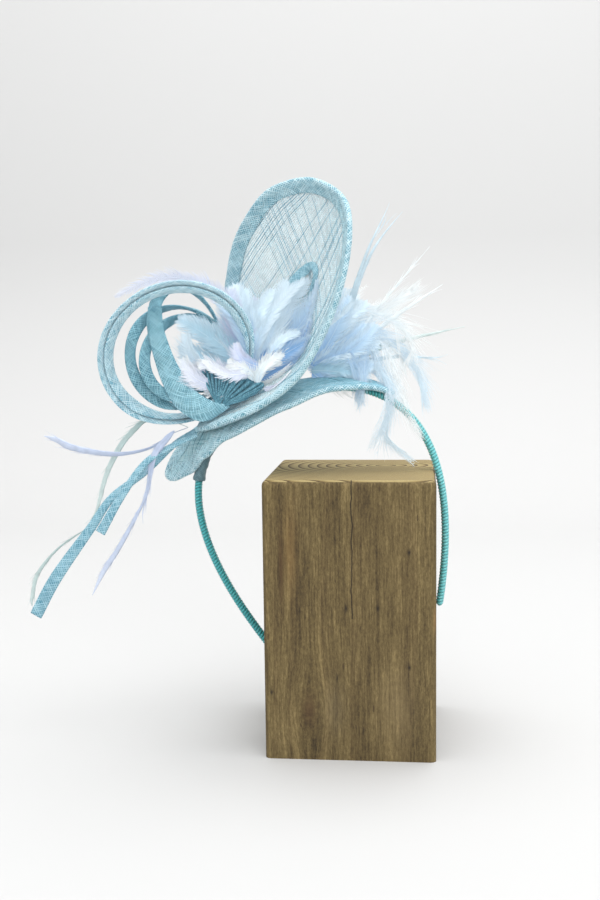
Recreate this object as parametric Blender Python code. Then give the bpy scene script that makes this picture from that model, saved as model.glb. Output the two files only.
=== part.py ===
"""A sinamay fascinator on a wrapped headband, held by the square timber block that it is displayed on.

Metres, +Z up. The origin is the middle of the block's underside, +X is the wearer's left-to-right span of the
headband and -Y is the side that the loops and the open face of the upright dish turn to.
"""

import math

import bmesh
import bpy
from mathutils import Matrix, Vector
from mathutils.bvhtree import BVHTree

# Clearance between pieces that touch
SEAT = 0.0003

# Timber block
BLOCK_SIDE = 0.092
BLOCK_HEIGHT = 0.152
BLOCK_ROUNDING = 0.003

# Headband: a wrapped oval wire that leans over to the loops' side and grips two faces of the block, down to
# BAND_GRIP below the block's top
BAND_THICKNESS = 0.0038
BAND_DEPTH = 0.006
BAND_HEIGHT = 0.138
BAND_SWELL = 0.044
BAND_CROWN_PULL = 0.40
BAND_SIDE_PULL = 0.74
BAND_LEAN = math.radians(14.7)
BAND_GRIP = 0.0905

# Sleeve that binds the base to the band
SLEEVE_WALL = 0.0010
SLEEVE_LENGTH = 0.030
SLEEVE_START = 0.018

# Sinamay base along the top of the band, with a free tongue past its left end
SHEET_WALL = 0.0010
BASE_WIDTH = 0.056
BASE_COVER = 0.086
BASE_LEFT_REACH = 0.029
TONGUE_LENGTH = 0.059

# Upright dish, a leaf of sinamay that lies on the base and stands up behind the feathers
DISH_LENGTH = 0.150

# Folded bias strip that binds both sheets
BINDING_WIDTH = 0.0070
BINDING_THICKNESS = 0.0042

# Flat tubes of sinamay: loops and tails
STRIP_THICKNESS = 0.0022
STRIP_WIDTH = 0.0075
STACK_STEP = STRIP_THICKNESS + SEAT
LOOP_RADIUS = 0.041
LOOP_TURN_SPAN = 0.8
TAIL_LENGTH = 0.165
TAIL_STEP = 0.01
TONGUE_SHARE = 0.2

# Plumes and spikes
PLUME_HEAD = 0.0100
HEAD_INSET = 0.03
FEATHER_THICKNESS = 0.0010
FEATHER_LENGTH = 0.060
FEATHER_WIDTH = 0.014
SPIKE_LENGTH = 0.110
SPIKE_WIDTH = 0.0032
SPIKE_HEAD = 0.0060
BLADE_BELLY = 1.3
BLADE_NARROWEST = 0.07
BLADE_TAPER = (1.4, 0.8)

BACK = Vector((0, 1, 0))

COLOURS = {
    "timber": ((0.36, 0.26, 0.15), 0.75),
    "wrap": ((0.10, 0.44, 0.44), 0.45),
    "sinamay": ((0.30, 0.55, 0.65), 0.7),
    "sinamay_pale": ((0.52, 0.72, 0.78), 0.7),
    "feather": ((0.66, 0.78, 0.92), 0.8),
    "spike": ((0.60, 0.70, 0.78), 0.7),
}


def material(name):
    """The Principled material of one of the named finishes."""
    found = bpy.data.materials.get(name)
    if found:
        return found
    colour, roughness = COLOURS[name]
    made = bpy.data.materials.new(name)
    made.use_nodes = True
    shader = made.node_tree.nodes["Principled BSDF"]
    shader.inputs["Base Color"].default_value = (*colour, 1)
    shader.inputs["Roughness"].default_value = roughness
    shader.inputs["Metallic"].default_value = 0.0
    return made


def add_object(name, points, faces, finish):
    """One closed mesh as a named object, smooth but for its sharp edges."""
    mesh = bpy.data.meshes.new(name)
    mesh.from_pydata([tuple(p) for p in points], [], faces)
    mesh.materials.append(material(finish))
    shaped = bmesh.new()
    shaped.from_mesh(mesh)
    bmesh.ops.recalc_face_normals(shaped, faces=shaped.faces)
    shaped.to_mesh(mesh)
    shaped.free()
    mesh.shade_smooth()
    mesh.set_sharp_from_angle(angle=math.radians(40))
    made = bpy.data.objects.new(name, mesh)
    bpy.context.scene.collection.objects.link(made)
    return made


def curve_at(points, share, closed=False):
    """A Catmull-Rom curve through the points, at a share of its spans."""
    count = len(points)
    spans = count if closed else count - 1
    place = (share % 1.0 if closed else min(max(share, 0.0), 1.0)) * spans
    first = min(int(place), spans - 1)
    t = place - first

    def knot(i):
        if closed:
            return points[i % count]
        if i < 0:
            return points[0] * 2 - points[1]
        if i >= count:
            return points[-1] * 2 - points[-2]
        return points[i]

    a, b, c, d = (knot(first + k) for k in (-1, 0, 1, 2))
    return (b * 2 + (c - a) * t + (a * 2 - b * 5 + c * 4 - d) * t**2 + (b * 3 - a - c * 3 + d) * t**3) * 0.5


def column_at(rows, column, share):
    """One column of a table of sections, smoothly between its rows, by the rows' own along values."""
    for low, high in zip(rows, rows[1:]):
        if share <= high["along"]:
            break
    t = (share - low["along"]) / (high["along"] - low["along"])
    t = min(max(t, 0.0), 1.0)
    t = t * t * (3 - 2 * t)
    return low[column] + (high[column] - low[column]) * t


def swept(name, stations, finish, closed):
    """A skin over rings of points. Each station is one ring, and open ends get flat caps."""
    sides = len(stations[0])
    points = [p for ring in stations for p in ring]
    faces = []
    for i in range(len(stations) if closed else len(stations) - 1):
        low, high = i * sides, ((i + 1) % len(stations)) * sides
        for j in range(sides):
            k = (j + 1) % sides
            faces.append((low + j, low + k, high + k, high + j))
    if not closed:
        faces.append(tuple(range(sides)))
        faces.append(tuple(range(len(points) - sides, len(points))))
    return add_object(name, points, faces, finish)


# Timber block


def build_block():
    made = bmesh.new()
    bmesh.ops.create_cube(made, size=1)
    bmesh.ops.scale(made, vec=(BLOCK_SIDE, BLOCK_SIDE, BLOCK_HEIGHT), verts=made.verts)
    bmesh.ops.translate(made, vec=(0, 0, BLOCK_HEIGHT / 2), verts=made.verts)
    worn = [e for e in made.edges if max(v.co.z for v in e.verts) > BLOCK_HEIGHT / 2]
    bmesh.ops.bevel(made, geom=worn, offset=BLOCK_ROUNDING, segments=3, profile=0.5, affect="EDGES")
    made.verts.index_update()
    points = [v.co.copy() for v in made.verts]
    faces = [tuple(v.index for v in f.verts) for f in made.faces]
    made.free()
    add_object("timber_block", points, faces, "timber")


# Headband


def band_tip_half():
    """Half the distance between the band's tips, from the block that they grip."""
    return (BLOCK_SIDE / 2 + SEAT + BAND_THICKNESS / 2) / math.cos(BAND_LEAN)


def band_line(steps=120):
    """The band's centre line from its left tip to its right tip, each point with its length from the crown."""
    tip = band_tip_half()
    corners = (
        Vector((0, BAND_HEIGHT)),
        Vector((BAND_CROWN_PULL * BAND_HEIGHT, BAND_HEIGHT)),
        Vector((tip + BAND_SWELL, BAND_SIDE_PULL * BAND_HEIGHT)),
        Vector((tip, 0)),
    )
    half = []
    for i in range(steps + 1):
        t = i / steps
        weights = ((1 - t) ** 3, 3 * t * (1 - t) ** 2, 3 * t * t * (1 - t), t**3)
        half.append(sum((c * w for c, w in zip(corners, weights)), Vector((0, 0))))
    lengths = [0.0]
    for a, b in zip(half, half[1:]):
        lengths.append(lengths[-1] + (b - a).length)
    across = Vector((math.cos(BAND_LEAN), 0, math.sin(BAND_LEAN)))
    along = Vector((-math.sin(BAND_LEAN), 0, math.cos(BAND_LEAN)))
    middle = Vector((0, 0, BLOCK_HEIGHT - BAND_GRIP))
    right = [(n, middle + across * p.x + along * p.y) for n, p in zip(lengths, half)]
    left = [(-n, middle - across * p.x + along * p.y) for n, p in zip(lengths, half)]
    return left[:0:-1] + right


BAND_LINE = band_line()


def band_at(length):
    """Centre, direction to the right and outward direction of the band at a length from its crown."""
    line = BAND_LINE
    length = min(max(length, line[0][0]), line[-1][0])
    i = 1
    while i < len(line) - 1 and line[i][0] < length:
        i += 1
    (a, p), (b, q) = line[i - 1], line[i]
    before, after = line[max(i - 2, 0)][1], line[min(i + 1, len(line) - 1)][1]
    ahead = (after - before).normalized()
    return p.lerp(q, (length - a) / (b - a)), ahead, ahead.cross(BACK).normalized()


def oval(centre, out, side, thick, deep, sides):
    """A ring of points round an oval section."""
    turns = [2 * math.pi * (k + 0.5) / sides for k in range(sides)]
    return [centre + out * (thick / 2 * math.cos(t)) + side * (deep / 2 * math.sin(t)) for t in turns]


def build_band(stations=60, sides=8):
    first, last = BAND_LINE[0][0], BAND_LINE[-1][0]
    rings = []
    for i in range(stations + 1):
        centre, _, out = band_at(first + (last - first) * i / stations)
        rings.append(oval(centre, out, BACK, BAND_THICKNESS, BAND_DEPTH, sides))
    swept("headband", rings, "wrap", closed=False)


def build_sleeve(stations=8, sides=10):
    """A short tube round the band, open at both ends."""
    start = -BASE_LEFT_REACH - SLEEVE_START
    inner = (BAND_THICKNESS + 3 * SEAT, BAND_DEPTH + 3 * SEAT)
    outer = (inner[0] + 2 * SLEEVE_WALL, inner[1] + 2 * SLEEVE_WALL)
    rings = []
    for thick, deep, order in ((*outer, 1), (*inner, -1)):
        for i in range(stations + 1)[::order]:
            centre, _, out = band_at(start - SLEEVE_LENGTH * i / stations)
            rings.append(oval(centre, out, BACK, thick, deep, sides))
    swept("band_sleeve", rings, "sinamay", closed=True)


# Sheets of sinamay with a bound edge


def sheet_grid(near, belly, far, rows, columns):
    """Points of a leaf-shaped sheet between its two edges, whose ends are single points.

    near, far and belly give a point for a share from the first end to the last.
    """
    grid = []
    for i in range(rows + 1):
        share = i / rows
        n, b, f = near(share), belly(share), far(share)
        line = []
        for j in range(columns + 1):
            q = 2 * j / columns - 1
            line.append(n * ((q * q - q) / 2) + f * ((q * q + q) / 2) + b * (1 - q * q))
        grid.append([line[0]] if i in (0, rows) else line)
    return grid


def sheet_faces(rows, columns, offset, flip):
    """Faces of one side of a sheet grid, and its boundary loop, by vertex number."""
    def at(i, j):
        if i == 0:
            return offset
        if i == rows:
            return offset + 1 + (rows - 1) * (columns + 1)
        return offset + 1 + (i - 1) * (columns + 1) + j

    faces = []
    for i in range(rows):
        for j in range(columns):
            corners = (at(i, j), at(i, j + 1), at(i + 1, j + 1), at(i + 1, j))
            corners = tuple(dict.fromkeys(corners))
            faces.append(corners[::-1] if flip else corners)
    edge = [at(0, 0)] + [at(i, 0) for i in range(1, rows)]
    edge += [at(rows, 0)] + [at(i, columns) for i in range(rows - 1, 0, -1)]
    return faces, edge


def sheet_mesh(grid):
    """Middle points, their normals and the boundary loop of a sheet grid."""
    rows, columns = len(grid) - 1, len(grid[1]) - 1
    points = [p for line in grid for p in line]
    faces, edge = sheet_faces(rows, columns, 0, False)
    skin = bmesh.new()
    verts = [skin.verts.new(p) for p in points]
    for f in faces:
        skin.faces.new([verts[k] for k in f])
    skin.normal_update()
    normals = [v.normal.copy() for v in skin.verts]
    skin.free()
    return points, normals, faces, edge


def build_sheet(name, grid, finish):
    """The sheet as a wall of even thickness."""
    rows, columns = len(grid) - 1, len(grid[1]) - 1
    points, normals, _, _ = sheet_mesh(grid)
    upper = [p + n * (SHEET_WALL / 2) for p, n in zip(points, normals)]
    lower = [p - n * (SHEET_WALL / 2) for p, n in zip(points, normals)]
    top, top_edge = sheet_faces(rows, columns, 0, False)
    bottom, bottom_edge = sheet_faces(rows, columns, len(points), True)
    rim = []
    for k in range(len(top_edge)):
        m = (k + 1) % len(top_edge)
        rim.append((top_edge[k], top_edge[m], bottom_edge[m], bottom_edge[k]))
    add_object(name, upper + lower, top + bottom + rim, finish)


def build_binding(name, grid, finish):
    """A strip folded over the sheet's edge, which follows the sheet on both sides."""
    points, normals, faces, edge = sheet_mesh(grid)
    tree = BVHTree.FromPolygons(points, faces)
    slot = SHEET_WALL / 2 + 2 * SEAT
    outer = BINDING_THICKNESS / 2
    rings = []
    for k, i in enumerate(edge):
        before, after = points[edge[k - 1]], points[edge[(k + 1) % len(edge)]]
        ahead = (after - before).normalized()
        face = (normals[i] - ahead * normals[i].dot(ahead)).normalized()
        inward = face.cross(ahead).normalized()
        gap_ahead = tree.find_nearest(points[i] + inward * BINDING_WIDTH)[3]
        gap_behind = tree.find_nearest(points[i] - inward * BINDING_WIDTH)[3]
        if gap_ahead > gap_behind:
            inward = -inward
        legs = [(points[i], face)]
        for reach in (0.5 * BINDING_WIDTH, BINDING_WIDTH):
            place, normal, _, _ = tree.find_nearest(points[i] + inward * reach)
            legs.append((place, normal if normal.dot(face) > 0 else -normal))
        lip = points[i] - inward * outer
        ring = [p + n * slot for p, n in legs[::-1]]
        ring[-1] -= inward * SEAT
        ring += [p - n * slot for p, n in legs]
        ring[3] -= inward * SEAT
        ring += [p - n * outer for p, n in legs[::-1]]
        ring += [lip]
        ring += [p + n * outer for p, n in legs]
        rings.append(ring)
    swept(name, rings, finish, closed=True)


# Base on the band

# Each row is a section: where it is along the base, its half-width and its droop below the band's line as
# shares of half the base's width, its roll to the front in degrees, and its crown's depth as a share of its
# half-width.

BASE_ROWS = (
    dict(along=0.00, half=0.56, droop=0.52, roll=20, crown=0.14),
    dict(along=0.10, half=0.56, droop=0.34, roll=19, crown=0.16),
    dict(along=0.20, half=0.60, droop=0.12, roll=18, crown=0.20),
    dict(along=0.30, half=0.70, droop=0.00, roll=17, crown=0.24),
    dict(along=0.42, half=0.86, droop=0.00, roll=16, crown=0.24),
    dict(along=0.60, half=1.00, droop=0.00, roll=10, crown=0.20),
    dict(along=0.80, half=0.86, droop=0.00, roll=5, crown=0.16),
    dict(along=1.00, half=0.46, droop=0.00, roll=5, crown=0.12),
)


def base_frame(share):
    """Middle point, lateral and facing directions of the base at a share of its length."""
    place = share * (TONGUE_LENGTH + BASE_COVER) - TONGUE_LENGTH
    centre, ahead, out = band_at(-BASE_LEFT_REACH + max(place, 0.0))
    roll = math.radians(column_at(BASE_ROWS, "roll", share))
    face = out * math.cos(roll) - BACK * math.sin(roll)
    side = BACK * math.cos(roll) + out * math.sin(roll)
    reach = math.hypot(BAND_THICKNESS / 2 * math.cos(roll), BAND_DEPTH / 2 * math.sin(roll))
    lift = reach + SEAT + BINDING_THICKNESS / 2 - column_at(BASE_ROWS, "droop", share) * BASE_WIDTH / 2
    return centre + face * lift + ahead * min(place, 0.0), side, face


def base_edges(share, sign):
    """A point of the base's edge. The share runs as an angle does, so that both ends are round."""
    along = 0.5 - 0.5 * math.cos(math.pi * share)
    centre, side, face = base_frame(along)
    half = BASE_WIDTH / 2 * column_at(BASE_ROWS, "half", along)
    drop = half * column_at(BASE_ROWS, "crown", along)
    round_end = math.sin(math.pi * share)
    return centre + side * (sign * half * round_end) - face * (drop * round_end * round_end)


def base_grid():
    return sheet_grid(
        lambda s: base_edges(s, -1),
        lambda s: base_frame(0.5 - 0.5 * math.cos(math.pi * s))[0],
        lambda s: base_edges(s, 1),
        rows=22,
        columns=6,
    )


# Upright dish. Each row is a section: its near rim, its belly and its far rim, as shares of the dish's length
# ahead along the band, to the back and outward, from the point over the base that the dish is seated at.

DISH_TIP = (-0.168, 0.005, -0.004)
DISH_TOP = (0.681, 0.053, 0.538)
DISH_SECTIONS = (
    dict(near=(-0.130, -0.080, -0.020), belly=(-0.090, 0.010, 0.004), far=(-0.130, 0.095, 0.030)),
    dict(near=(-0.034, -0.147, -0.044), belly=(0.020, 0.010, 0.004), far=(-0.072, 0.167, 0.075)),
    dict(near=(0.117, -0.180, -0.062), belly=(0.140, 0.025, 0.020), far=(0.023, 0.227, 0.202)),
    dict(near=(0.283, -0.200, -0.041), belly=(0.285, 0.070, 0.075), far=(0.102, 0.253, 0.315)),
    dict(near=(0.464, -0.200, 0.057), belly=(0.400, 0.100, 0.190), far=(0.187, 0.253, 0.424)),
    dict(near=(0.607, -0.180, 0.178), belly=(0.485, 0.120, 0.300), far=(0.311, 0.220, 0.539)),
    dict(near=(0.708, -0.120, 0.312), belly=(0.580, 0.115, 0.420), far=(0.473, 0.147, 0.603)),
    dict(near=(0.737, -0.033, 0.421), belly=(0.650, 0.080, 0.490), far=(0.576, 0.100, 0.595)),
)


def seat_frame():
    """Point over the base that the dish is seated at, with the directions ahead and outward there."""
    _, ahead, out = band_at(-BASE_LEFT_REACH)
    centre, _, face = base_frame(TONGUE_LENGTH / (TONGUE_LENGTH + BASE_COVER))
    return centre + face * (SHEET_WALL / 2 + SEAT + BINDING_THICKNESS / 2), ahead, out


def from_seat(shares, size):
    """World point for shares of a size ahead, to the back and outward from the seat."""
    seat, ahead, out = seat_frame()
    return seat + (ahead * shares[0] + BACK * shares[1] + out * shares[2]) * size


def seated(sheet, place, wall, height):
    """The point over a sheet, nearest to a place, where a thing of that half height rests."""
    points, _, faces, _ = sheet_mesh(sheet)
    near, normal, _, _ = BVHTree.FromPolygons(points, faces).find_nearest(place)
    if normal.dot(seat_frame()[2]) < 0:
        normal = -normal
    return near + normal * (wall / 2 + SEAT + height)


def dish_grid(rows=26, columns=8):
    guide = {k: [from_seat(row[k], DISH_LENGTH) for row in DISH_SECTIONS] for k in ("near", "belly", "far")}
    tip, top = from_seat(DISH_TIP, DISH_LENGTH), from_seat(DISH_TOP, DISH_LENGTH)
    rim = [tip, *guide["near"], top, *guide["far"][::-1]]
    middle = [tip, *guide["belly"], top]
    return sheet_grid(
        lambda s: curve_at(rim, s / 2, closed=True),
        lambda s: curve_at(middle, s),
        lambda s: curve_at(rim, 1 - s / 2, closed=True),
        rows,
        columns,
    )


# Loops of flat tube, which lie on each other in a stack on the dish. A loop stands outward from the stack,
# tilted ahead of that and leaning to the front by angles in degrees, and spin turns it about that direction.
# level counts layers up the stack, and the other lengths are shares of LOOP_RADIUS.

LOOPS = (
    dict(name="loop_outer", level=0.7, ahead=-0.28, reach=0.93, spread=1.03, tilt=0, lean=17, spin=0, turn=36),
    dict(name="loop_second", level=1.7, ahead=-0.28, reach=0.83, spread=0.92, tilt=0, lean=17, spin=0, turn=36),
    dict(name="loop_left", level=3.1, ahead=-0.28, reach=0.72, spread=0.82, tilt=-4, lean=0, spin=36, turn=0),
    dict(name="loop_small", level=7.0, ahead=-0.20, reach=0.56, spread=0.56, tilt=0, lean=-4, spin=50, turn=0),
    dict(name="loop_front", level=5.5, ahead=-0.20, reach=0.75, spread=0.72, tilt=0, lean=-8, spin=64, turn=0),
)


def flat_section(centre, wide, thin, width, thickness):
    """A flat tube's section, six-sided."""
    shape = ((-0.5, 0), (-0.36, 0.5), (0.36, 0.5), (0.5, 0), (0.36, -0.5), (-0.36, -0.5))
    return [centre + wide * (width * a) + thin * (thickness * b) for a, b in shape]


def loop_frame(row):
    """Root, standing direction, direction across and axis of a loop."""
    seat, ahead, out = seat_frame()
    tilt, lean, spin = (math.radians(row[k]) for k in ("tilt", "lean", "spin"))
    stand = (out * math.cos(tilt) + ahead * math.sin(tilt)) * math.cos(lean) - BACK * math.sin(lean)
    side = (BACK - stand * BACK.dot(stand)).normalized()
    across = side.cross(stand) * math.cos(spin) + side * math.sin(spin)
    lowest = SHEET_WALL / 2 + SEAT + STRIP_THICKNESS / 2
    root = seat + out * (lowest + STACK_STEP * row["level"]) + ahead * (LOOP_RADIUS * row["ahead"])
    return root, stand, across, stand.cross(across)


def build_loop(row, stations=32):
    root, stand, across, axis = loop_frame(row)
    reach, spread = LOOP_RADIUS * row["reach"], LOOP_RADIUS * row["spread"]
    rings = []
    for i in range(stations):
        angle = 2 * math.pi * i / stations
        centre = root + stand * (reach * (1 - math.cos(angle))) + across * (spread * math.sin(angle))
        along = (stand * (reach * math.sin(angle)) + across * (spread * math.cos(angle))).normalized()
        outward = along.cross(axis)
        rise = min(1.0, (1 - math.cos(angle)) / LOOP_TURN_SPAN)
        roll = math.radians(row["turn"]) * rise * rise * (3 - 2 * rise)
        wide = axis * math.cos(roll) + outward * math.sin(roll)
        thin = outward * math.cos(roll) - axis * math.sin(roll)
        rings.append(flat_section(centre, wide, thin, STRIP_WIDTH, STRIP_THICKNESS))
    swept(row["name"], rings, "sinamay", closed=True)


# Tails of the same tube. Each row of a tail is a point of its middle line, from its root to its cut end, as
# shares of TAIL_LENGTH ahead, to the back and outward from the seat, with its width as a share of the tube's.

TAILS = (
    dict(
        name="tail_long",
        line=(
            dict(at=(-0.170, -0.012, -0.007), width=0.70),
            dict(at=(-0.250, -0.035, -0.007), width=0.60),
            dict(at=(-0.370, -0.085, -0.033), width=0.60),
            dict(at=(-0.512, -0.121, -0.047), width=0.65),
            dict(at=(-0.624, -0.133, -0.094), width=0.75),
            dict(at=(-0.819, -0.152, -0.174), width=0.95),
            dict(at=(-0.954, -0.152, -0.247), width=0.95),
        ),
    ),
    dict(
        name="tail_short",
        line=(
            dict(at=(-0.165, -0.055, -0.020), width=0.55),
            dict(at=(-0.240, -0.085, -0.010), width=0.55),
            dict(at=(-0.343, -0.135, -0.009), width=0.55),
            dict(at=(-0.471, -0.172, -0.063), width=0.60),
            dict(at=(-0.588, -0.195, -0.126), width=0.75),
        ),
    ),
)


def build_tail(row, base, stations=14):
    points = [from_seat(p["at"], TAIL_LENGTH) for p in row["line"]]
    points[0] = seated(base, points[0], BINDING_THICKNESS, STRIP_THICKNESS / 2)
    widths = [Vector((p["width"], 0)) for p in row["line"]]
    rings = []
    for i in range(stations + 1):
        share = i / stations
        before, after = curve_at(points, share - TAIL_STEP), curve_at(points, share + TAIL_STEP)
        ahead = (after - before).normalized()
        front = -BACK * share + base_frame(TONGUE_SHARE)[2] * (1 - share)
        wide = ahead.cross(front).normalized()
        width = STRIP_WIDTH * curve_at(widths, share).x
        rings.append(flat_section(curve_at(points, share), wide, wide.cross(ahead), width, STRIP_THICKNESS))
    swept(row["name"], rings, "sinamay", closed=False)


# Feathers. Each bunch is a round head with one blade from each chosen face of it. A bunch's root is given from
# the seat as shares of the length beside it. A blade's row gives its tip ahead, to the back and outward from the head as
# shares of the bunch's length, how far its middle is bowed aside in the same directions, and its width as a
# share of the bunch's.

BUNCHES = (
    dict(
        name="plume_front",
        root=(0.100, 0.065, 0.040),
        root_of=DISH_LENGTH,
        on="dish",
        wall=SHEET_WALL,
        head=PLUME_HEAD,
        length=FEATHER_LENGTH,
        width=FEATHER_WIDTH,
        finish="feather",
        blades=(
            dict(tip=(-0.31, -0.28, 0.60), bow=(0.04, -0.02, 0.00), width=0.8),
            dict(tip=(0.02, -0.13, 0.82), bow=(0.00, 0.02, 0.00), width=1.0),
            dict(tip=(0.35, -0.10, 0.76), bow=(0.00, -0.04, 0.00), width=1.0),
            dict(tip=(0.74, -0.16, 0.54), bow=(0.00, 0.02, 0.00), width=1.0),
            dict(tip=(1.02, -0.46, 0.38), bow=(0.00, 0.00, 0.00), width=0.9),
            dict(tip=(0.66, -0.38, 0.14), bow=(0.00, -0.02, 0.03), width=0.8),
        ),
    ),
    dict(
        name="plume_back",
        root=(0.300, 0.080, -0.056),
        root_of=DISH_LENGTH,
        on="base",
        wall=SHEET_WALL,
        head=PLUME_HEAD,
        length=FEATHER_LENGTH,
        width=FEATHER_WIDTH,
        finish="feather",
        blades=(
            dict(tip=(0.60, 0.47, 0.62), bow=(0.10, 0.08, -0.04), width=1.0),
            dict(tip=(0.84, 0.52, 0.52), bow=(0.06, 0.04, -0.02), width=1.0),
            dict(tip=(0.90, 0.45, 0.25), bow=(0.04, 0.04, 0.02), width=1.0),
            dict(tip=(0.95, 0.38, 0.02), bow=(0.04, 0.04, 0.08), width=1.0),
            dict(tip=(0.80, 0.42, -0.22), bow=(0.06, 0.10, 0.12), width=0.9),
            dict(tip=(0.48, 0.46, -0.48), bow=(0.08, 0.16, 0.16), width=0.8),
        ),
    ),
    dict(
        name="spikes_right",
        root=(0.385, 0.030, -0.120),
        root_of=DISH_LENGTH,
        on="base",
        wall=SHEET_WALL,
        head=SPIKE_HEAD,
        length=SPIKE_LENGTH,
        width=SPIKE_WIDTH,
        finish="spike",
        blades=(
            dict(tip=(0.67, 0.20, 0.61), bow=(0.06, 0.04, -0.02), width=1.0),
            dict(tip=(0.74, 0.27, 0.54), bow=(0.07, 0.03, -0.04), width=1.0),
            dict(tip=(0.76, 0.30, 0.26), bow=(0.04, 0.03, 0.02), width=1.0),
            dict(tip=(0.66, 0.26, -0.08), bow=(0.02, 0.02, 0.06), width=1.0),
            dict(tip=(0.54, 0.22, -0.23), bow=(0.03, 0.03, 0.07), width=1.0),
        ),
    ),
    dict(
        name="spikes_left",
        root=(-0.215, 0.040, 0.005),
        root_of=DISH_LENGTH,
        on="base",
        wall=BINDING_THICKNESS,
        head=SPIKE_HEAD,
        length=SPIKE_LENGTH,
        width=SPIKE_WIDTH,
        finish="spike",
        blades=(
            dict(tip=(-0.62, 0.02, 0.36), bow=(-0.02, 0.00, -0.12), width=1.0),
            dict(tip=(-1.19, 0.05, -0.40), bow=(-0.06, 0.03, 0.05), width=1.0),
        ),
    ),
    dict(
        name="spikes_front",
        root=(-0.214, -0.0955, 0.031),
        root_of=TAIL_LENGTH,
        on=None,
        head=SPIKE_HEAD * 0.7,
        length=SPIKE_LENGTH,
        width=SPIKE_WIDTH,
        finish="spike",
        blades=(
            dict(tip=(-0.39, -0.27, -0.30), bow=(-0.04, -0.06, 0.06), width=1.2),
            dict(tip=(-0.77, -0.32, -0.46), bow=(-0.10, -0.06, 0.03), width=1.0),
        ),
    ),
)


def add_blade(shaped, face, root, row, bunch, stations=6):
    """Draws one face of the head out along a blade's line."""
    _, ahead, out = seat_frame()
    axes = (ahead, BACK, out)
    tip = sum((axes[k] * row["tip"][k] for k in range(3)), Vector()) * bunch["length"]
    bow = sum((axes[k] * row["bow"][k] for k in range(3)), Vector()) * bunch["length"]
    start = face.calc_center_median()
    run = tip - (start - root)
    wide = run.cross(BACK).normalized()
    thin = run.cross(wide).normalized()
    last = list(face.verts)
    shaped.faces.remove(face)
    for i in range(1, stations + 1):
        share = i / stations
        centre = start + run * share + bow * (4 * share * (1 - share))
        half = bunch["width"] * row["width"] / 2 * max(math.sin(math.pi * share**BLADE_BELLY), BLADE_NARROWEST)
        deep = FEATHER_THICKNESS / 2 * (BLADE_TAPER[0] - BLADE_TAPER[1] * share)
        places = [centre + wide * half, centre + thin * deep, centre - wide * half, centre - thin * deep]
        if i == 1:
            orders = [places[k:] + places[:k] for k in range(4)]
            orders += [o[::-1] for o in orders]
            places = min(orders, key=lambda o: sum((p - v.co).length_squared for p, v in zip(o, last)))
        ring = [shaped.verts.new(p) for p in places]
        for k in range(4):
            m = (k + 1) % 4
            shaped.faces.new((last[k], last[m], ring[m], ring[k]))
        last = ring
    shaped.faces.new(last)


def build_bunch(bunch, sheets):
    root = from_seat(bunch["root"], bunch["root_of"])
    if bunch["on"]:
        root = seated(sheets[bunch["on"]], root, bunch["wall"], bunch["head"] / 2)
    _, ahead, out = seat_frame()
    shaped = bmesh.new()
    bmesh.ops.create_cube(shaped, size=1)
    bmesh.ops.subdivide_edges(shaped, edges=shaped.edges[:], cuts=2, use_grid_fill=True)
    for v in shaped.verts:
        d = v.co.normalized() * bunch["head"] / 2
        v.co = root + ahead * d.x + BACK * d.y + out * d.z
    count = len(shaped.faces)
    bmesh.ops.inset_individual(shaped, faces=shaped.faces[:], thickness=bunch["head"] * HEAD_INSET)
    free = sorted(shaped.faces, key=lambda f: -f.calc_area())[:count]
    for row in bunch["blades"]:
        way = (ahead * row["tip"][0] + BACK * row["tip"][1] + out * row["tip"][2]).normalized()
        face = max(free, key=lambda f: (f.calc_center_median() - root).normalized().dot(way))
        free.remove(face)
        add_blade(shaped, face, root, row, bunch)
    shaped.verts.index_update()
    points = [v.co.copy() for v in shaped.verts]
    faces = [tuple(v.index for v in f.verts) for f in shaped.faces]
    shaped.free()
    add_object(bunch["name"], points, faces, bunch["finish"])


def clear_scene():
    for old in list(bpy.data.objects):
        bpy.data.objects.remove(old)


def main():
    clear_scene()
    build_block()
    build_band()
    build_sleeve()
    base, dish = base_grid(), dish_grid()
    build_sheet("base_sheet", base, "sinamay_pale")
    build_binding("base_binding", base, "sinamay")
    build_sheet("dish_sheet", dish, "sinamay_pale")
    build_binding("dish_binding", dish, "sinamay")
    for row in LOOPS:
        build_loop(row)
    for row in TAILS:
        build_tail(row, base)
    for bunch in BUNCHES:
        build_bunch(bunch, dict(base=base, dish=dish))


main()
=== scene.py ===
import math

import bmesh
import bpy
import numpy as np
from mathutils import Matrix, Vector
from mathutils.bvhtree import BVHTree


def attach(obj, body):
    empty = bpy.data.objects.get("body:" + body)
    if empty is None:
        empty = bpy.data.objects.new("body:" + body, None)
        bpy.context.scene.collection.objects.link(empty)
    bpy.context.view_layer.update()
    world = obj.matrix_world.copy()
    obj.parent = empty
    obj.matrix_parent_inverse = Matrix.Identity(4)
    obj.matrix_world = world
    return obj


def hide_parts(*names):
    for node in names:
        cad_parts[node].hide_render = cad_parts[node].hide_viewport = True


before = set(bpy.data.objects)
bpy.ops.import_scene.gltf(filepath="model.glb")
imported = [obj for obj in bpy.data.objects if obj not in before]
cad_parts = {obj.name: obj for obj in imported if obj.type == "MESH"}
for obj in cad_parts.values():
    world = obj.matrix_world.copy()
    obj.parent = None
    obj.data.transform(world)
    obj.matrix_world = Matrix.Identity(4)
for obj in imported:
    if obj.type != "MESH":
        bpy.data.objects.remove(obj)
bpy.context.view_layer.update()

back = np.array((0.0, 1.0, 0.0))

# the same line as the wire of the headband in the solids
band = dict(
    thickness=0.0038,
    depth=0.0060,
    height=0.138,
    swell=0.044,
    crownPull=0.40,
    sidePull=0.74,
    lean=math.radians(14.7),
    tipsZ=0.0615,
    blockHalf=0.046,
    gap=0.0003,
)

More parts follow.
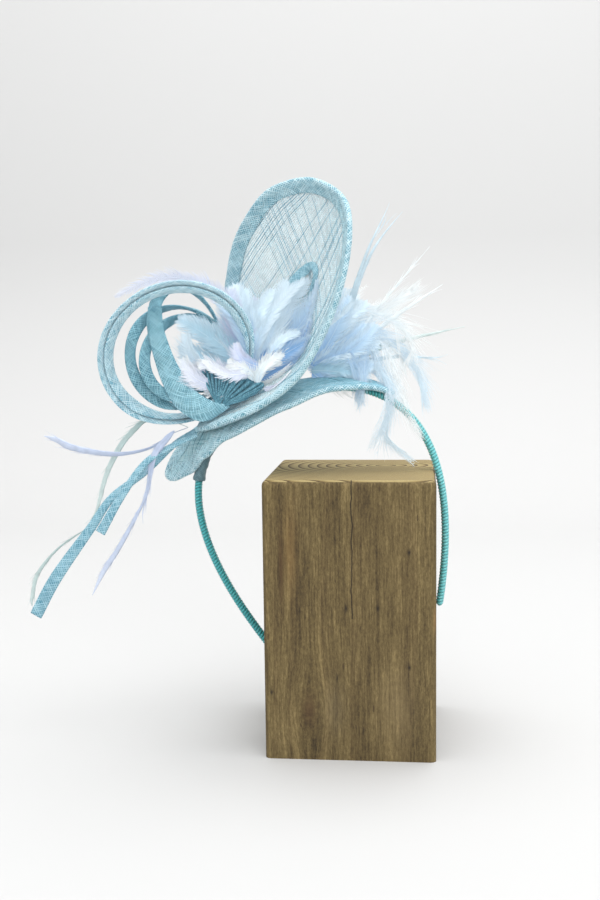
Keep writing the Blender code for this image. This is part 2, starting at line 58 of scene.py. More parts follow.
# the same outline as the base and the dish in the solids
base = dict(
    width=0.056,
    cover=0.086,
    leftReach=0.029,
    tongue=0.059,
    wall=0.001,
    binding=0.0042,
    rows=(
        (0.00, 0.58, 0.56, 50, 0.10),
        (0.10, 0.60, 0.38, 46, 0.12),
        (0.20, 0.62, 0.14, 34, 0.18),
        (0.30, 0.70, 0.00, 22, 0.24),
        (0.42, 0.86, 0.00, 16, 0.24),
        (0.60, 1.00, 0.00, 10, 0.20),
        (0.80, 0.86, 0.00, 5, 0.16),
        (1.00, 0.46, 0.00, 5, 0.12),
    ),
)

dish = dict(
    length=0.150,
    tip=(-0.168, 0.005, -0.004),
    top=(0.681, 0.053, 0.538),
    near=((-0.130, -0.080, -0.020), (-0.034, -0.147, -0.044), (0.117, -0.180, -0.062), (0.283, -0.200, -0.041),
          (0.464, -0.200, 0.057), (0.607, -0.180, 0.178), (0.708, -0.120, 0.312), (0.737, -0.033, 0.421)),
    belly=((-0.090, 0.010, 0.004), (0.020, 0.010, 0.004), (0.140, 0.025, 0.020), (0.285, 0.070, 0.075),
           (0.400, 0.100, 0.190), (0.485, 0.120, 0.300), (0.580, 0.115, 0.420), (0.650, 0.080, 0.490)),
    far=((-0.130, 0.095, 0.030), (-0.072, 0.167, 0.075), (0.023, 0.227, 0.202), (0.102, 0.253, 0.315),
         (0.187, 0.253, 0.424), (0.311, 0.220, 0.539), (0.473, 0.147, 0.603), (0.576, 0.100, 0.595)),
)


def unit(v):
    return v / max(np.linalg.norm(v), 1e-9)


def unitRows(a):
    return a / np.maximum(np.linalg.norm(a, axis=-1, keepdims=True), 1e-9)


def curveAt(points, share, closed=False):
    count = len(points)
    spans = count if closed else count - 1
    place = (share % 1.0 if closed else min(max(share, 0.0), 1.0)) * spans
    first = min(int(place), spans - 1)
    t = place - first

    def knot(i):
        if closed:
            return points[i % count]
        if i < 0:
            return points[0] * 2 - points[1]
        if i >= count:
            return points[-1] * 2 - points[-2]
        return points[i]

    a, b, c, d = (knot(first + k) for k in (-1, 0, 1, 2))
    return (b * 2 + (c - a) * t + (a * 2 - b * 5 + c * 4 - d) * t**2 + (b * 3 - a - c * 3 + d) * t**3) * 0.5


def bandLine(steps=120):
    tip = (band["blockHalf"] + band["gap"] + band["thickness"] / 2) / math.cos(band["lean"])
    high = band["height"]
    corners = ((0, high), (band["crownPull"] * high, high), (tip + band["swell"], band["sidePull"] * high), (tip, 0))
    half = []
    for i in range(steps + 1):
        t = i / steps
        weights = ((1 - t) ** 3, 3 * t * (1 - t) ** 2, 3 * t * t * (1 - t), t**3)
        half.append(sum(np.array(c) * w for c, w in zip(corners, weights)))
    lengths = [0.0]
    for a, b in zip(half, half[1:]):
        lengths.append(lengths[-1] + float(np.linalg.norm(b - a)))
    c, s = math.cos(band["lean"]), math.sin(band["lean"])
    middle = np.array((0, 0, band["tipsZ"]))
    across, along = np.array((c, 0, s)), np.array((-s, 0, c))
    right = [(n, middle + across * p[0] + along * p[1]) for n, p in zip(lengths, half)]
    left = [(-n, middle - across * p[0] + along * p[1]) for n, p in zip(lengths, half)]
    return left[:0:-1] + right


bandPoints = bandLine()
bandLengths = np.array([n for n, p in bandPoints])
bandPlaces = np.array([p for n, p in bandPoints])


def bandPlace(length):
    return np.array([np.interp(length, bandLengths, bandPlaces[:, k]) for k in range(3)])


def bandAt(length):
    length = min(max(length, bandLengths[0]), bandLengths[-1])
    ahead = unit(bandPlace(length + 0.002) - bandPlace(length - 0.002))
    return bandPlace(length), ahead, unit(np.cross(ahead, back))


def baseRow(share):
    rows = base["rows"]
    for low, high in zip(rows, rows[1:]):
        if share <= high[0]:
            break
    t = min(max((share - low[0]) / (high[0] - low[0]), 0.0), 1.0)
    t = t * t * (3 - 2 * t)
    return [a + (b - a) * t for a, b in zip(low, high)]


def baseFrame(share):
    place = share * (base["tongue"] + base["cover"]) - base["tongue"]
    centre, ahead, out = bandAt(-base["leftReach"] + max(place, 0.0))
    _, _, droop, roll, _ = baseRow(share)
    roll = math.radians(roll)
    face = out * math.cos(roll) - back * math.sin(roll)
    side = back * math.cos(roll) + out * math.sin(roll)
    reach = math.hypot(band["thickness"] / 2 * math.cos(roll), band["depth"] / 2 * math.sin(roll))
    lift = reach + band["gap"] + base["binding"] / 2 - droop * base["width"] / 2
    return centre + face * lift + ahead * min(place, 0.0), side, face


def baseEdge(share, sign):
    along = 0.5 - 0.5 * math.cos(math.pi * share)
    centre, side, face = baseFrame(along)
    _, half, _, _, crown = baseRow(along)
    half *= base["width"] / 2
    roundEnd = math.sin(math.pi * share)
    return centre + side * (sign * half * roundEnd) - face * (half * crown * roundEnd * roundEnd)


_, seatAhead, seatOut = bandAt(-base["leftReach"])
seatCentre, _, seatFace = baseFrame(base["tongue"] / (base["tongue"] + base["cover"]))
seatSpot = seatCentre + seatFace * (base["wall"] / 2 + band["gap"] + base["binding"] / 2)


def fromSeat(shares, size=1.0):
    return seatSpot + (seatAhead * shares[0] + back * shares[1] + seatOut * shares[2]) * size


def sheetGrid(near, belly, far, rows, columns):
    grid = np.zeros((rows + 1, columns + 1, 3))
    for i in range(rows + 1):
        n, b, f = near(i / rows), belly(i / rows), far(i / rows)
        for j in range(columns + 1):
            q = 2 * j / columns - 1
            grid[i, j] = n * ((q * q - q) / 2) + f * ((q * q + q) / 2) + b * (1 - q * q)
    return grid


dishRim = [fromSeat(p, dish["length"]) for p in (dish["tip"], *dish["near"], dish["top"], *dish["far"][::-1])]
dishMiddle = [fromSeat(p, dish["length"]) for p in (dish["tip"], *dish["belly"], dish["top"])]


def dishGrid(rows, columns):
    return sheetGrid(lambda s: curveAt(dishRim, s / 2, True), lambda s: curveAt(dishMiddle, s),
                     lambda s: curveAt(dishRim, 1 - s / 2, True), rows, columns)


def baseGrid(rows, columns):
    return sheetGrid(lambda s: baseEdge(s, -1), lambda s: baseFrame(0.5 - 0.5 * math.cos(math.pi * s))[0],
                     lambda s: baseEdge(s, 1), rows, columns)


# node trees and materials

def feed(tree, value, socket):
    value = getattr(value, "socket", value)
    if isinstance(value, bpy.types.NodeSocket):
        tree.links.new(value, socket)
    elif socket.type == "RGBA" and len(value) == 3:
        socket.default_value = (*value, 1)
    else:
        socket.default_value = value


# the plain values go to the inputs in order, the named ones to the node's settings or its inputs
def putNode(tree, kind, *values, **named):
    node = tree.nodes.new(kind)
    count = len(tree.nodes)
    node.location = (count % 12 * 220, count // 12 * -320)
    settings = {key: value for key, value in named.items() if hasattr(node, key)}
    for key, value in settings.items():
        setattr(node, key, value)
    for k, value in enumerate(values):
        feed(tree, value, node.inputs[k])
    for key, value in named.items():
        if key not in settings:
            feed(tree, value, node.inputs[key.replace("_", " ")])
    return node


def mathValue(what, *values):
    tree = next(v for v in values if isinstance(v, Value)).socket.id_data
    return Value(putNode(tree, "ShaderNodeMath", *values, operation=what).outputs[0])


# an output that is reckoned with, one math node a step
class Value:
    def __init__(self, socket):
        self.socket = socket

    def __add__(self, other):
        return mathValue("ADD", self, other)

    def __sub__(self, other):
        return mathValue("SUBTRACT", self, other)

    def __rsub__(self, other):
        return mathValue("SUBTRACT", other, self)

    def __mul__(self, other):
        return mathValue("MULTIPLY", self, other)

    def __truediv__(self, other):
        return mathValue("DIVIDE", self, other)

    def __pow__(self, other):
        return mathValue("POWER", self, other)

    def __rpow__(self, other):
        return mathValue("POWER", other, self)

    def __abs__(self):
        return mathValue("ABSOLUTE", self)

    def __gt__(self, other):
        return mathValue("GREATER_THAN", self, other)

    def __lt__(self, other):
        return mathValue("LESS_THAN", self, other)


def rampOf(factor, *stops):
    node = putNode(factor.socket.id_data, "ShaderNodeValToRGB", factor)
    ramp = node.color_ramp
    while len(ramp.elements) < len(stops):
        ramp.elements.new(0.5)
    for element, (place, colour) in zip(ramp.elements, stops):
        element.position = place
        element.color = (*colour, 1)
    return node.outputs[0]


def mixOf(tree, factor, a, b, blend="MIX"):
    node = putNode(tree, "ShaderNodeMix", data_type="RGBA", blend_type=blend)
    for k, value in ((0, factor), (6, a), (7, b)):
        feed(tree, value, node.inputs[k])
    return node.outputs[2]


def splitOf(tree, vector):
    return [Value(s) for s in putNode(tree, "ShaderNodeSeparateXYZ", vector).outputs]


def objectPlace(tree):
    return putNode(tree, "ShaderNodeTexCoord").outputs["Object"]


def weaveMap(tree):
    return putNode(tree, "ShaderNodeUVMap", uv_map="weaveMap").outputs[0]


def stretched(tree, place, scale, turn=(0, 0, 0)):
    return putNode(tree, "ShaderNodeMapping", place, vector_type="POINT", Scale=scale, Rotation=turn).outputs[0]


def noiseOf(tree, place, Scale=1.0, **settings):
    return Value(putNode(tree, "ShaderNodeTexNoise", Vector=place, Scale=Scale, **settings).outputs["Fac"])


def shareOf(value, low, high):
    return Value(putNode(value.socket.id_data, "ShaderNodeMapRange", value, From_Min=low, From_Max=high).outputs[0])


def bumpFrom(tree, shader, height, strength, distance):
    made = putNode(tree, "ShaderNodeBump", Strength=strength, Distance=distance, Height=height)
    tree.links.new(made.outputs[0], shader.inputs["Normal"])


def newGroup(name, kind, inputs, outputs):
    tree = bpy.data.node_groups.new(name, kind)
    for way, rows in (("INPUT", inputs), ("OUTPUT", outputs)):
        for socket, sort, *value in rows:
            made = tree.interface.new_socket(name=socket, in_out=way, socket_type="NodeSocket" + sort)
            if value:
                made.default_value = value[0]
    return tree, putNode(tree, "NodeGroupInput").outputs, putNode(tree, "NodeGroupOutput").inputs


def newMaterial(name, **settings):
    made = bpy.data.materials.new(name)
    made.use_nodes = True
    shader = made.node_tree.nodes["Principled BSDF"]
    for key, value in settings.items():
        shader.inputs[key.replace("_", " ")].default_value = value
    return made, made.node_tree, shader


def colourOf(red, green, blue):
    linear = []
    for v in (red, green, blue):
        v /= 255
        linear.append(v / 12.92 if v <= 0.04045 else ((v + 0.055) / 1.055) ** 2.4)
    return tuple(linear)


def coloursOf(*rows):
    return tuple(colourOf(*row) for row in rows)


# two crossing sets of threads with uneven thickness, from a map in centimetres
def makeWeaveGroup():
    tree, start, end = newGroup(
        "sinamayWeave", "ShaderNodeTree",
        (("Vector", "Vector"), ("Threads", "Float", 9.0), ("Angle", "Float", 0.785), ("Slub", "Float", 0.5),
         ("Cover", "Float", 0.6)),
        (("Thread", "Float"), ("Height", "Float"), ("Streak", "Float")))
    turn = putNode(tree, "ShaderNodeVectorRotate", rotation_type="Z_AXIS", Vector=start["Vector"], Angle=start["Angle"])
    grown = putNode(tree, "ShaderNodeVectorMath", turn.outputs[0], operation="SCALE", Scale=start["Threads"]).outputs[0]
    wobble = putNode(tree, "ShaderNodeTexNoise", Vector=grown, Scale=0.35, Detail=2.0)
    aside = putNode(tree, "ShaderNodeVectorMath", wobble.outputs["Color"], operation="SCALE", Scale=0.5)
    shifted = putNode(tree, "ShaderNodeVectorMath", grown, aside.outputs[0], operation="ADD")
    ways = splitOf(tree, shifted.outputs[0])
    masks, heights, tones = [], [], []
    for k, (along, across) in enumerate(((0, 1), (1, 0))):
        wave = abs(mathValue("SINE", ways[along] * math.pi))
        place = putNode(tree, "ShaderNodeCombineXYZ", mathValue("FLOOR", ways[along]), ways[across] * 0.12, k * 7.3)
        thick = noiseOf(tree, place.outputs[0], Detail=1.0)
        tones.append(thick)
        masks.append(wave > (1.0 - Value(start["Cover"])) - (thick - 0.5) * Value(start["Slub"]))
        heights.append(wave * (thick + 0.4))
    feed(tree, mathValue("MAXIMUM", *masks), end["Thread"])
    feed(tree, mathValue("MAXIMUM", *heights), end["Height"])
    feed(tree, (tones[0] + tones[1]) * 0.5, end["Streak"])
    return tree


weaveGroup = makeWeaveGroup()


# sheer holds the alpha of the gaps and the threads; a span along an axis with the tints of its ends paints light and
# shade into the colour
def clothMaterial(name, tones, threads, cover, sheer=None, bump=0.35, angle=0.785, slub=0.7, fade=None, axis=0):
    made, tree, shader = newMaterial(name, Roughness=0.62, Sheen_Weight=0.15, Sheen_Roughness=0.5)
    weave = putNode(tree, "ShaderNodeGroup", node_tree=weaveGroup, Vector=weaveMap(tree), Threads=threads, Angle=angle,
                    Slub=slub, Cover=cover).outputs
    spot = objectPlace(tree)
    dark, mid, pale = coloursOf(*tones)
    mask = Value(weave["Height"]) * 0.55 + Value(weave["Streak"]) * 0.45
    shade = rampOf(noiseOf(tree, spot, 55.0, Detail=3.0), (0.3, (0.86, 0.88, 0.90)), (0.7, (1.06, 1.05, 1.04)))
    colour = mixOf(tree, 1.0, rampOf(mask, (0.22, dark), (0.5, mid), (0.78, pale)), shade, "MULTIPLY")
    # painted light and shade: the colour is multiplied by a ramp of tints along one axis
    if fade:
        share = shareOf(splitOf(tree, spot)[axis], *fade[:2])
        colour = mixOf(tree, 1.0, colour, rampOf(share, (0.0, fade[2]), (1.0, fade[3])), "MULTIPLY")
    feed(tree, colour, shader.inputs["Base Color"])
    bumpFrom(tree, shader, weave["Height"], bump, 0.0003)
    if sheer:
        seen = putNode(tree, "ShaderNodeMapRange", weave["Thread"], To_Min=sheer[0], To_Max=sheer[1])
        feed(tree, seen.outputs[0], shader.inputs["Alpha"])
    return made


stripCloth = clothMaterial("stripCloth", ((48, 110, 136), (98, 164, 186), (206, 232, 240)), 9.0, 0.5, slub=0.15)
bindingCloth = clothMaterial("bindingCloth", ((42, 102, 126), (82, 148, 168), (208, 232, 238)), 8.5, 0.5, slub=0.15)
dishCloth = clothMaterial("dishCloth", ((204, 230, 236), (224, 241, 244), (240, 248, 249)), 9.0, 0.3,
                          sheer=(0.30, 0.42), bump=0.15, angle=0.44, slub=0.25)
# the base's colour is painted lighter at its near end and darker at its far end, which lies in shade
baseCloth = clothMaterial("baseCloth", ((96, 152, 168), (142, 190, 200), (196, 222, 226)), 9.5, 0.45,
                          sheer=(0.80, 0.98), bump=0.3, slub=0.4,
                          fade=(-0.085, -0.015, (1.15, 1.12, 1.10), (0.62, 0.78, 0.84)))
sleeveCloth = clothMaterial("sleeveCloth", ((44, 72, 82), (74, 108, 118), (116, 146, 154)), 14.0, 0.6)


# threads, barbs and quills take their dye from an attribute
def dyedMaterial(name, rough, sheen, scale, depth, alpha=1.0, glow=0.0):
    made, tree, shader = newMaterial(name, Roughness=rough, Sheen_Weight=sheen, Sheen_Roughness=0.6, Alpha=alpha)
    dye = putNode(tree, "ShaderNodeAttribute", attribute_name="dye").outputs["Color"]
    tone = noiseOf(tree, objectPlace(tree), scale, Detail=2.0)
    shade = rampOf(tone, (0.3, (1 - depth,) * 3), (0.7, (1 + depth * 0.6,) * 3))
    colour = mixOf(tree, 1.0, dye, shade, "MULTIPLY")
    feed(tree, colour, shader.inputs["Base Color"])
    if glow:   # painted glow: emission in the barbs' own colour stands in for light that passes through thin barbs
        feed(tree, colour, shader.inputs["Emission Color"])
        shader.inputs["Emission Strength"].default_value = glow
    return made


threadDye = dyedMaterial("threadDye", 0.55, 0.1, 400.0, 0.22)
# the feathers and quills glow a little: painted light in place of light passing through them
featherDyeGlow = dyedMaterial("featherDyeGlow", 0.9, 0.3, 120.0, 0.04, alpha=0.72, glow=0.17)
quillDyeGlow = dyedMaterial("quillDyeGlow", 0.6, 0.2, 260.0, 0.10, glow=0.04)


# lines of points swept as thin closed strands, with their own thickness, facing and dye
def makeStrandTree():
    tree, start, end = newGroup(
        "strandTree", "GeometryNodeTree",
        (("Geometry", "Geometry"), ("Thickness", "Float", 1.0), ("Flatness", "Float", 1.0), ("Sides", "Int", 3),
         ("Material", "Material")),
        (("Geometry", "Geometry"),))
    curve = putNode(tree, "GeometryNodeMeshToCurve", start["Geometry"])
    thick = putNode(tree, "GeometryNodeInputNamedAttribute", data_type="FLOAT", Name="thick")
    facing = putNode(tree, "GeometryNodeInputNamedAttribute", data_type="FLOAT_VECTOR", Name="facing")
    normal = putNode(tree, "GeometryNodeSetCurveNormal", mode="FREE", Curve=curve.outputs[0], Normal=facing.outputs[0])
    ring = putNode(tree, "GeometryNodeCurvePrimitiveCircle", mode="RADIUS", Radius=1.0, Resolution=start["Sides"])
    flat = putNode(tree, "ShaderNodeCombineXYZ", start["Flatness"], 1.0, 1.0)
    press = putNode(tree, "GeometryNodeTransform", Geometry=ring.outputs[0], Scale=flat.outputs[0])
    skin = putNode(tree, "GeometryNodeCurveToMesh", Curve=normal.outputs[0], Profile_Curve=press.outputs[0],
                   Scale=Value(thick.outputs[0]) * start["Thickness"], Fill_Caps=True)
    real = putNode(tree, "GeometryNodeRealizeInstances", skin.outputs[0])
    coat = putNode(tree, "GeometryNodeSetMaterial", Geometry=real.outputs[0], Material=start["Material"])
    feed(tree, coat.outputs[0], end[0])
    return tree


strandTree = makeStrandTree()


def addObject(name, data):
    made = bpy.data.objects.new(name, data)
    bpy.context.scene.collection.objects.link(made)
    return made


def shapedMesh(made):
    bpy.context.view_layer.update()
    graph = bpy.context.evaluated_depsgraph_get()
    return bpy.data.meshes.new_from_object(made.evaluated_get(graph), preserve_all_data_layers=True, depsgraph=graph)


def finishMesh(made, material, rides=()):
    made.data.materials.clear()
    made.data.materials.append(material)
    made.data.polygons.foreach_set("use_smooth", [True] * len(made.data.polygons))
    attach(made, "root")
    if rides:
        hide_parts(*rides)
    return made


def pieceName(node):
    first, *rest = node.split("_")
    return first + "".join(word.capitalize() for word in rest)


# strands: a list of (points, thickness, facing, dye) with one row for each point
def strandPiece(name, strands, material, rides=(), flatness=1.0, sides=3):
    counts = [len(s[0]) for s in strands]
    points = np.concatenate([s[0] for s in strands])
    thick = np.concatenate([np.broadcast_to(s[1], n) for n, s in zip(counts, strands)])
    facing, dye = (np.concatenate([np.broadcast_to(s[k], (n, 3)) for n, s in zip(counts, strands)]) for k in (2, 3))
    ends = np.cumsum(counts)
    firsts = np.delete(np.arange(len(points)), ends - 1)
    mesh = bpy.data.meshes.new(name + "Lines")
    mesh.vertices.add(len(points))
    mesh.vertices.foreach_set("co", points.astype(np.float32).ravel())
    mesh.edges.add(len(firsts))
    mesh.edges.foreach_set("vertices", np.stack([firsts, firsts + 1], 1).astype(np.int32).ravel())
    dye = np.concatenate([dye, np.ones((len(dye), 1))], 1)
    for key, kind, field, values in (("thick", "FLOAT", "value", thick), ("facing", "FLOAT_VECTOR", "vector", facing),
                                     ("dye", "FLOAT_COLOR", "color", dye)):
        mesh.attributes.new(key, kind, "POINT").data.foreach_set(field, values.astype(np.float32).ravel())
    lines = addObject(name + "Lines", mesh)
    modifier = lines.modifiers.new("strands", "NODES")
    modifier.node_group = strandTree
    sockets = {i.name: i.identifier for i in strandTree.interface.items_tree if i.in_out == "INPUT"}
    for key, value in (("Thickness", 1.0), ("Flatness", flatness), ("Sides", sides), ("Material", material)):
        modifier[sockets[key]] = value
    result = shapedMesh(lines)
    bpy.data.objects.remove(lines)
    result.name = name
    for unused in ("thick", "facing"):
        if unused in result.attributes:
            result.attributes.remove(result.attributes[unused])
    made = finishMesh(addObject(name, result), material, rides)
    print(name, len(strands), "strands,", sum(len(p.vertices) - 2 for p in result.polygons), "triangles")
    return made


# a skin over a grid of points, with a map in centimetres along and around
def gridPiece(name, grid, material, rides=(), closedAlong=False, closedAround=False, caps=False, wall=0.0,
              places=None):
    rows, columns = grid.shape[:2]
    points = grid.reshape(-1, 3)
    lastRow = rows if closedAlong else rows - 1
    lastColumn = columns if closedAround else columns - 1
    i, j = np.meshgrid(np.arange(lastRow), np.arange(lastColumn), indexing="ij")
    a = i * columns + j
    b = i * columns + (j + 1) % columns
    c = ((i + 1) % rows) * columns + (j + 1) % columns
    d = ((i + 1) % rows) * columns + j
    quads = np.stack([a, b, c, d], -1).reshape(-1, 4)
    along = np.linalg.norm(np.roll(grid, -1, 0) - grid, axis=-1).mean(1)
    around = np.linalg.norm(np.roll(grid, -1, 1) - grid, axis=-1).mean(0)
    u = np.concatenate([[0], np.cumsum(along)]) * 100
    v = np.concatenate([[0], np.cumsum(around)]) * 100
    uv = np.stack([np.stack([u[i], v[j]], -1), np.stack([u[i], v[j + 1]], -1),
                   np.stack([u[i + 1], v[j + 1]], -1), np.stack([u[i + 1], v[j]], -1)], 2).reshape(-1, 2)
    if places is not None:
        uv = places.reshape(-1, 2)[quads.ravel()]
    faces = [tuple(q) for q in quads.tolist()]
    if caps:
        faces.append(tuple(range(columns)))
        faces.append(tuple(range((rows - 1) * columns, rows * columns)))
        uv = np.concatenate([uv, np.zeros((2 * columns, 2))])
    mesh = bpy.data.meshes.new(name)
    mesh.from_pydata(points.tolist(), [], faces)
    mesh.uv_layers.new(name="weaveMap").data.foreach_set("uv", uv.astype(np.float32).ravel())
    shaped = bmesh.new()
    shaped.from_mesh(mesh)
    bmesh.ops.remove_doubles(shaped, verts=shaped.verts, dist=1e-6)
    bmesh.ops.recalc_face_normals(shaped, faces=shaped.faces)
    shaped.to_mesh(mesh)
    shaped.free()
    made = addObject(name, mesh)
    if wall:
        solid = made.modifiers.new("wall", "SOLIDIFY")
        solid.thickness = wall
        solid.offset = 0
        mesh = shapedMesh(made)
        made.modifiers.clear()
        made.data = mesh
    print(name, len(mesh.polygons), "faces")
    return finishMesh(made, material, rides)


# timber block

darkSplit = colourOf(26, 18, 10)
block = dict(
    side=0.092,
    height=0.152,
    rounding=0.0032,
    knot=(-0.0217, 0.0276),
    crack=(0.0016, 0.078),
    marks=(
        ((-0.0313, 0.1145), (0.0036, 0.022), colourOf(140, 108, 62), 0.35),
        ((-0.0360, 0.1060), (0.0012, 0.020), colourOf(70, 46, 22), 0.7),
        ((-0.0080, 0.0285), (0.0060, 0.0140), colourOf(110, 98, 74), 0.3),
        ((0.0456, 0.0780), (0.0013, 0.0070), colourOf(150, 112, 66), 0.4),
        ((0.0250, 0.0300), (0.0090, 0.0200), colourOf(136, 118, 84), 0.35),
        ((0.0318, 0.1140), (0.0009, 0.0016), darkSplit, 0.95),
        ((-0.0016, 0.0837), (0.0008, 0.0018), darkSplit, 0.9),
        ((0.0153, 0.0837), (0.0008, 0.0018), darkSplit, 0.9),
        ((0.0318, 0.0520), (0.0008, 0.0014), darkSplit, 0.9),
        ((-0.0420, 0.0370), (0.0008, 0.0016), darkSplit, 0.9),
        ((-0.0066, 0.0454), (0.0004, 0.0020), darkSplit, 0.9),
    ),
)


def roundedBlock():
    half, high, r = block["side"] / 2, block["height"], block["rounding"]
    arc = np.array([0.25, 0.6, 1.0, 1.6, 2.4]) / 2.4 * r
    near = r * 1.3
    flat, tall = np.linspace(-half, half, 41), np.linspace(0, high, 66)
    rim = np.concatenate([[0], arc])
    flat = np.unique(np.concatenate([-half + rim, flat[(flat > -half + near) & (flat < half - near)], half - rim]))
    tall = np.unique(np.concatenate([[0], arc, tall[(tall > near) & (tall < high - near)], high - arc, [high]]))
    low, top = np.array((-half + r, -half + r, r * 0.5)), np.array((half - r, half - r, high - r))
    made = bmesh.new()
    verts = {}

    def vert(x, y, z):
        key = (round(x, 6), round(y, 6), round(z, 6))
        if key not in verts:
            p = np.array((x, y, z))
            core = np.clip(p, low, top)
            d = p - core
            level = np.linalg.norm(d[:2])
            if z > r * 0.5 and np.linalg.norm(d) > 0:
                p = core + d / np.linalg.norm(d) * r
            elif level > 0:
                p = np.array((*(core + d / level * r)[:2], z))
            verts[key] = made.verts.new(p)
        return verts[key]

    def panel(a, b, place):
        for i in range(len(a) - 1):
            for j in range(len(b) - 1):
                corners = ((i, j), (i + 1, j), (i + 1, j + 1), (i, j + 1))
                made.faces.new([vert(*place(a[x], b[y])) for x, y in corners])

    for side in (-half, half):
        panel(flat, tall, lambda x, z, s=side: (x, s, z))
        panel(flat, tall, lambda y, z, s=side: (s, y, z))
    for level in (0, high):
        panel(flat, flat, lambda x, y, s=level: (x, y, s))
    bmesh.ops.recalc_face_normals(made, faces=made.faces)
    mesh = bpy.data.meshes.new("timberBlock")
    made.to_mesh(mesh)
    made.free()
    return mesh


def squared(value):
    return abs(value) ** 2.0


def fallOf(value):
    return 2.718 ** (value * -1.0)


def woodMaterial():
    made, tree, shader = newMaterial("plainTimber", Roughness=0.82)
    spot = objectPlace(tree)
    x, y, z = splitOf(tree, spot)
    front = y < -0.0435
    end = splitOf(tree, putNode(tree, "ShaderNodeNewGeometry").outputs["Normal"])[2] > 0.72

    # the grain swerves round the knot, and the rings run about a line near the block's middle
    knotX, knotZ = x - block["knot"][0], z - block["knot"][1]
    pull = fallOf(squared(knotX / 0.011) + squared(knotZ / 0.024))
    bent = x + knotX * pull * -0.75
    drift = (noiseOf(tree, stretched(tree, spot, (12, 12, 3)), Detail=2.0) - 0.5) * 0.010
    radius = mathValue("SQRT", squared(bent - 0.018 + drift) + squared((y - 0.016 + drift) * 1.5))
    late = mathValue("FRACT", radius / 0.0058) ** 3.0

    grain = putNode(tree, "ShaderNodeCombineXYZ", bent, y, z).outputs[0]
    fibre = noiseOf(tree, stretched(tree, grain, (900, 900, 48)), Detail=5.0, Roughness=0.7)
    broad = noiseOf(tree, stretched(tree, grain, (140, 140, 9)), Detail=3.0)
    grit = noiseOf(tree, stretched(tree, grain, (1100, 1100, 420)), Detail=4.0, Roughness=0.75)
    tone = fibre * 0.38 + broad * 0.30 + grit * 0.32
    dotted = stretched(tree, grain, (300, 300, 70))
    pores = putNode(tree, "ShaderNodeTexVoronoi", feature="F1", Scale=1.0, Vector=dotted)
    pick = Value(putNode(tree, "ShaderNodeSeparateColor", pores.outputs["Color"]).outputs[0])
    hole = (Value(pores.outputs["Distance"]) < 0.13) * (pick > 0.80) * 0.7

    colour = rampOf(tone, (0.38, colourOf(52, 41, 21)), (0.46, colourOf(86, 71, 40)), (0.54, colourOf(108, 92, 56)),
                    (0.62, colourOf(140, 121, 79)))
    colour = mixOf(tree, late * 0.20, colour, colourOf(84, 64, 38))
    # the top end: end-grain rings, painted lighter than the sides for the light that falls on it from above
    endMask = late * 0.75 + noiseOf(tree, spot, 900.0, Detail=2.0) * 0.25
    endGrainAndTopLight = rampOf(endMask, (0.05, colourOf(172, 154, 106)), (0.40, colourOf(134, 114, 70)),
                       (0.75, colourOf(66, 48, 24)))
    colour = mixOf(tree, end, colour, endGrainAndTopLight)
    colour = mixOf(tree, (y < -0.03) * pull ** 9.0 * 0.55, colour, colourOf(84, 60, 36))
    for place, size, tint, strength in block["marks"]:   # stains and small dark splits of the front
        mask = fallOf(squared((x - place[0]) / size[0]) + squared((z - place[1]) / size[1])) * front
        if size[0] > 0.001:
            mask = mask * (fibre * 1.9)
        colour = mixOf(tree, mask * strength, colour, tint)
    wander = putNode(tree, "ShaderNodeTexNoise", noise_dimensions="1D", W=z * 60.0, Scale=1.0, Detail=2.0)
    crackX = x - block["crack"][0] - (Value(wander.outputs["Fac"]) - 0.5) * 0.0022
    crack = (abs(crackX) < 0.00034) * ((z > block["crack"][1]) * front)
    colour = mixOf(tree, crack * 0.85, colour, colourOf(32, 24, 12))
    colour = mixOf(tree, hole * (1.0 - end), colour, colourOf(58, 42, 24))
    feed(tree, colour, shader.inputs["Base Color"])
    bumpFrom(tree, shader, tone - hole * 0.6, 0.6, 0.0006)
    return made


finishMesh(addObject("timberBlock", roundedBlock()), woodMaterial(), ("timber_block",))
print("timber block made")

# headband: a core and the wound ribs

wrap = dict(pitch=0.00180, ribHigh=0.00058, slant=1.6, sides=20, perPitch=8, paler=(0.01, 0.05))
sleeve = dict(offset=0.018, length=0.030, inner=0.00045, outer=0.00145, steps=40, sides=28)


def ovalRing(centre, out, thick, deep, turns):
    return centre + out * (thick * np.cos(turns))[:, None] + back * (deep * np.sin(turns))[:, None]


def wrappedBand():
    first, last = bandLengths[0], bandLengths[-1]
    steps = int((last - first) / wrap["pitch"] * wrap["perPitch"])
    turns = 2 * np.pi * np.arange(wrap["sides"]) / wrap["sides"]
    rings, shades = [], []
    for i in range(steps + 1):
        length = first + (last - first) * i / steps
        centre, _, out = bandAt(length)
        end = min(1.0, min(i, steps - i) / (wrap["perPitch"] * 1.5))
        size = max(math.sqrt(1 - (1 - end) ** 2), 0.02) if end < 1 else 1.0
        wave = np.abs(np.sin(length / wrap["pitch"] * np.pi + turns * wrap["slant"] / 2))
        rib = wave ** 0.7 * wrap["ribHigh"] - wrap["ribHigh"] * 0.5
        thick, deep = (band[key] / 2 + rib for key in ("thickness", "depth"))
        shades.append(wave)
        rings.append(ovalRing(centre, out, thick * size, deep * size, turns))
    return np.array(rings), np.array(shades)


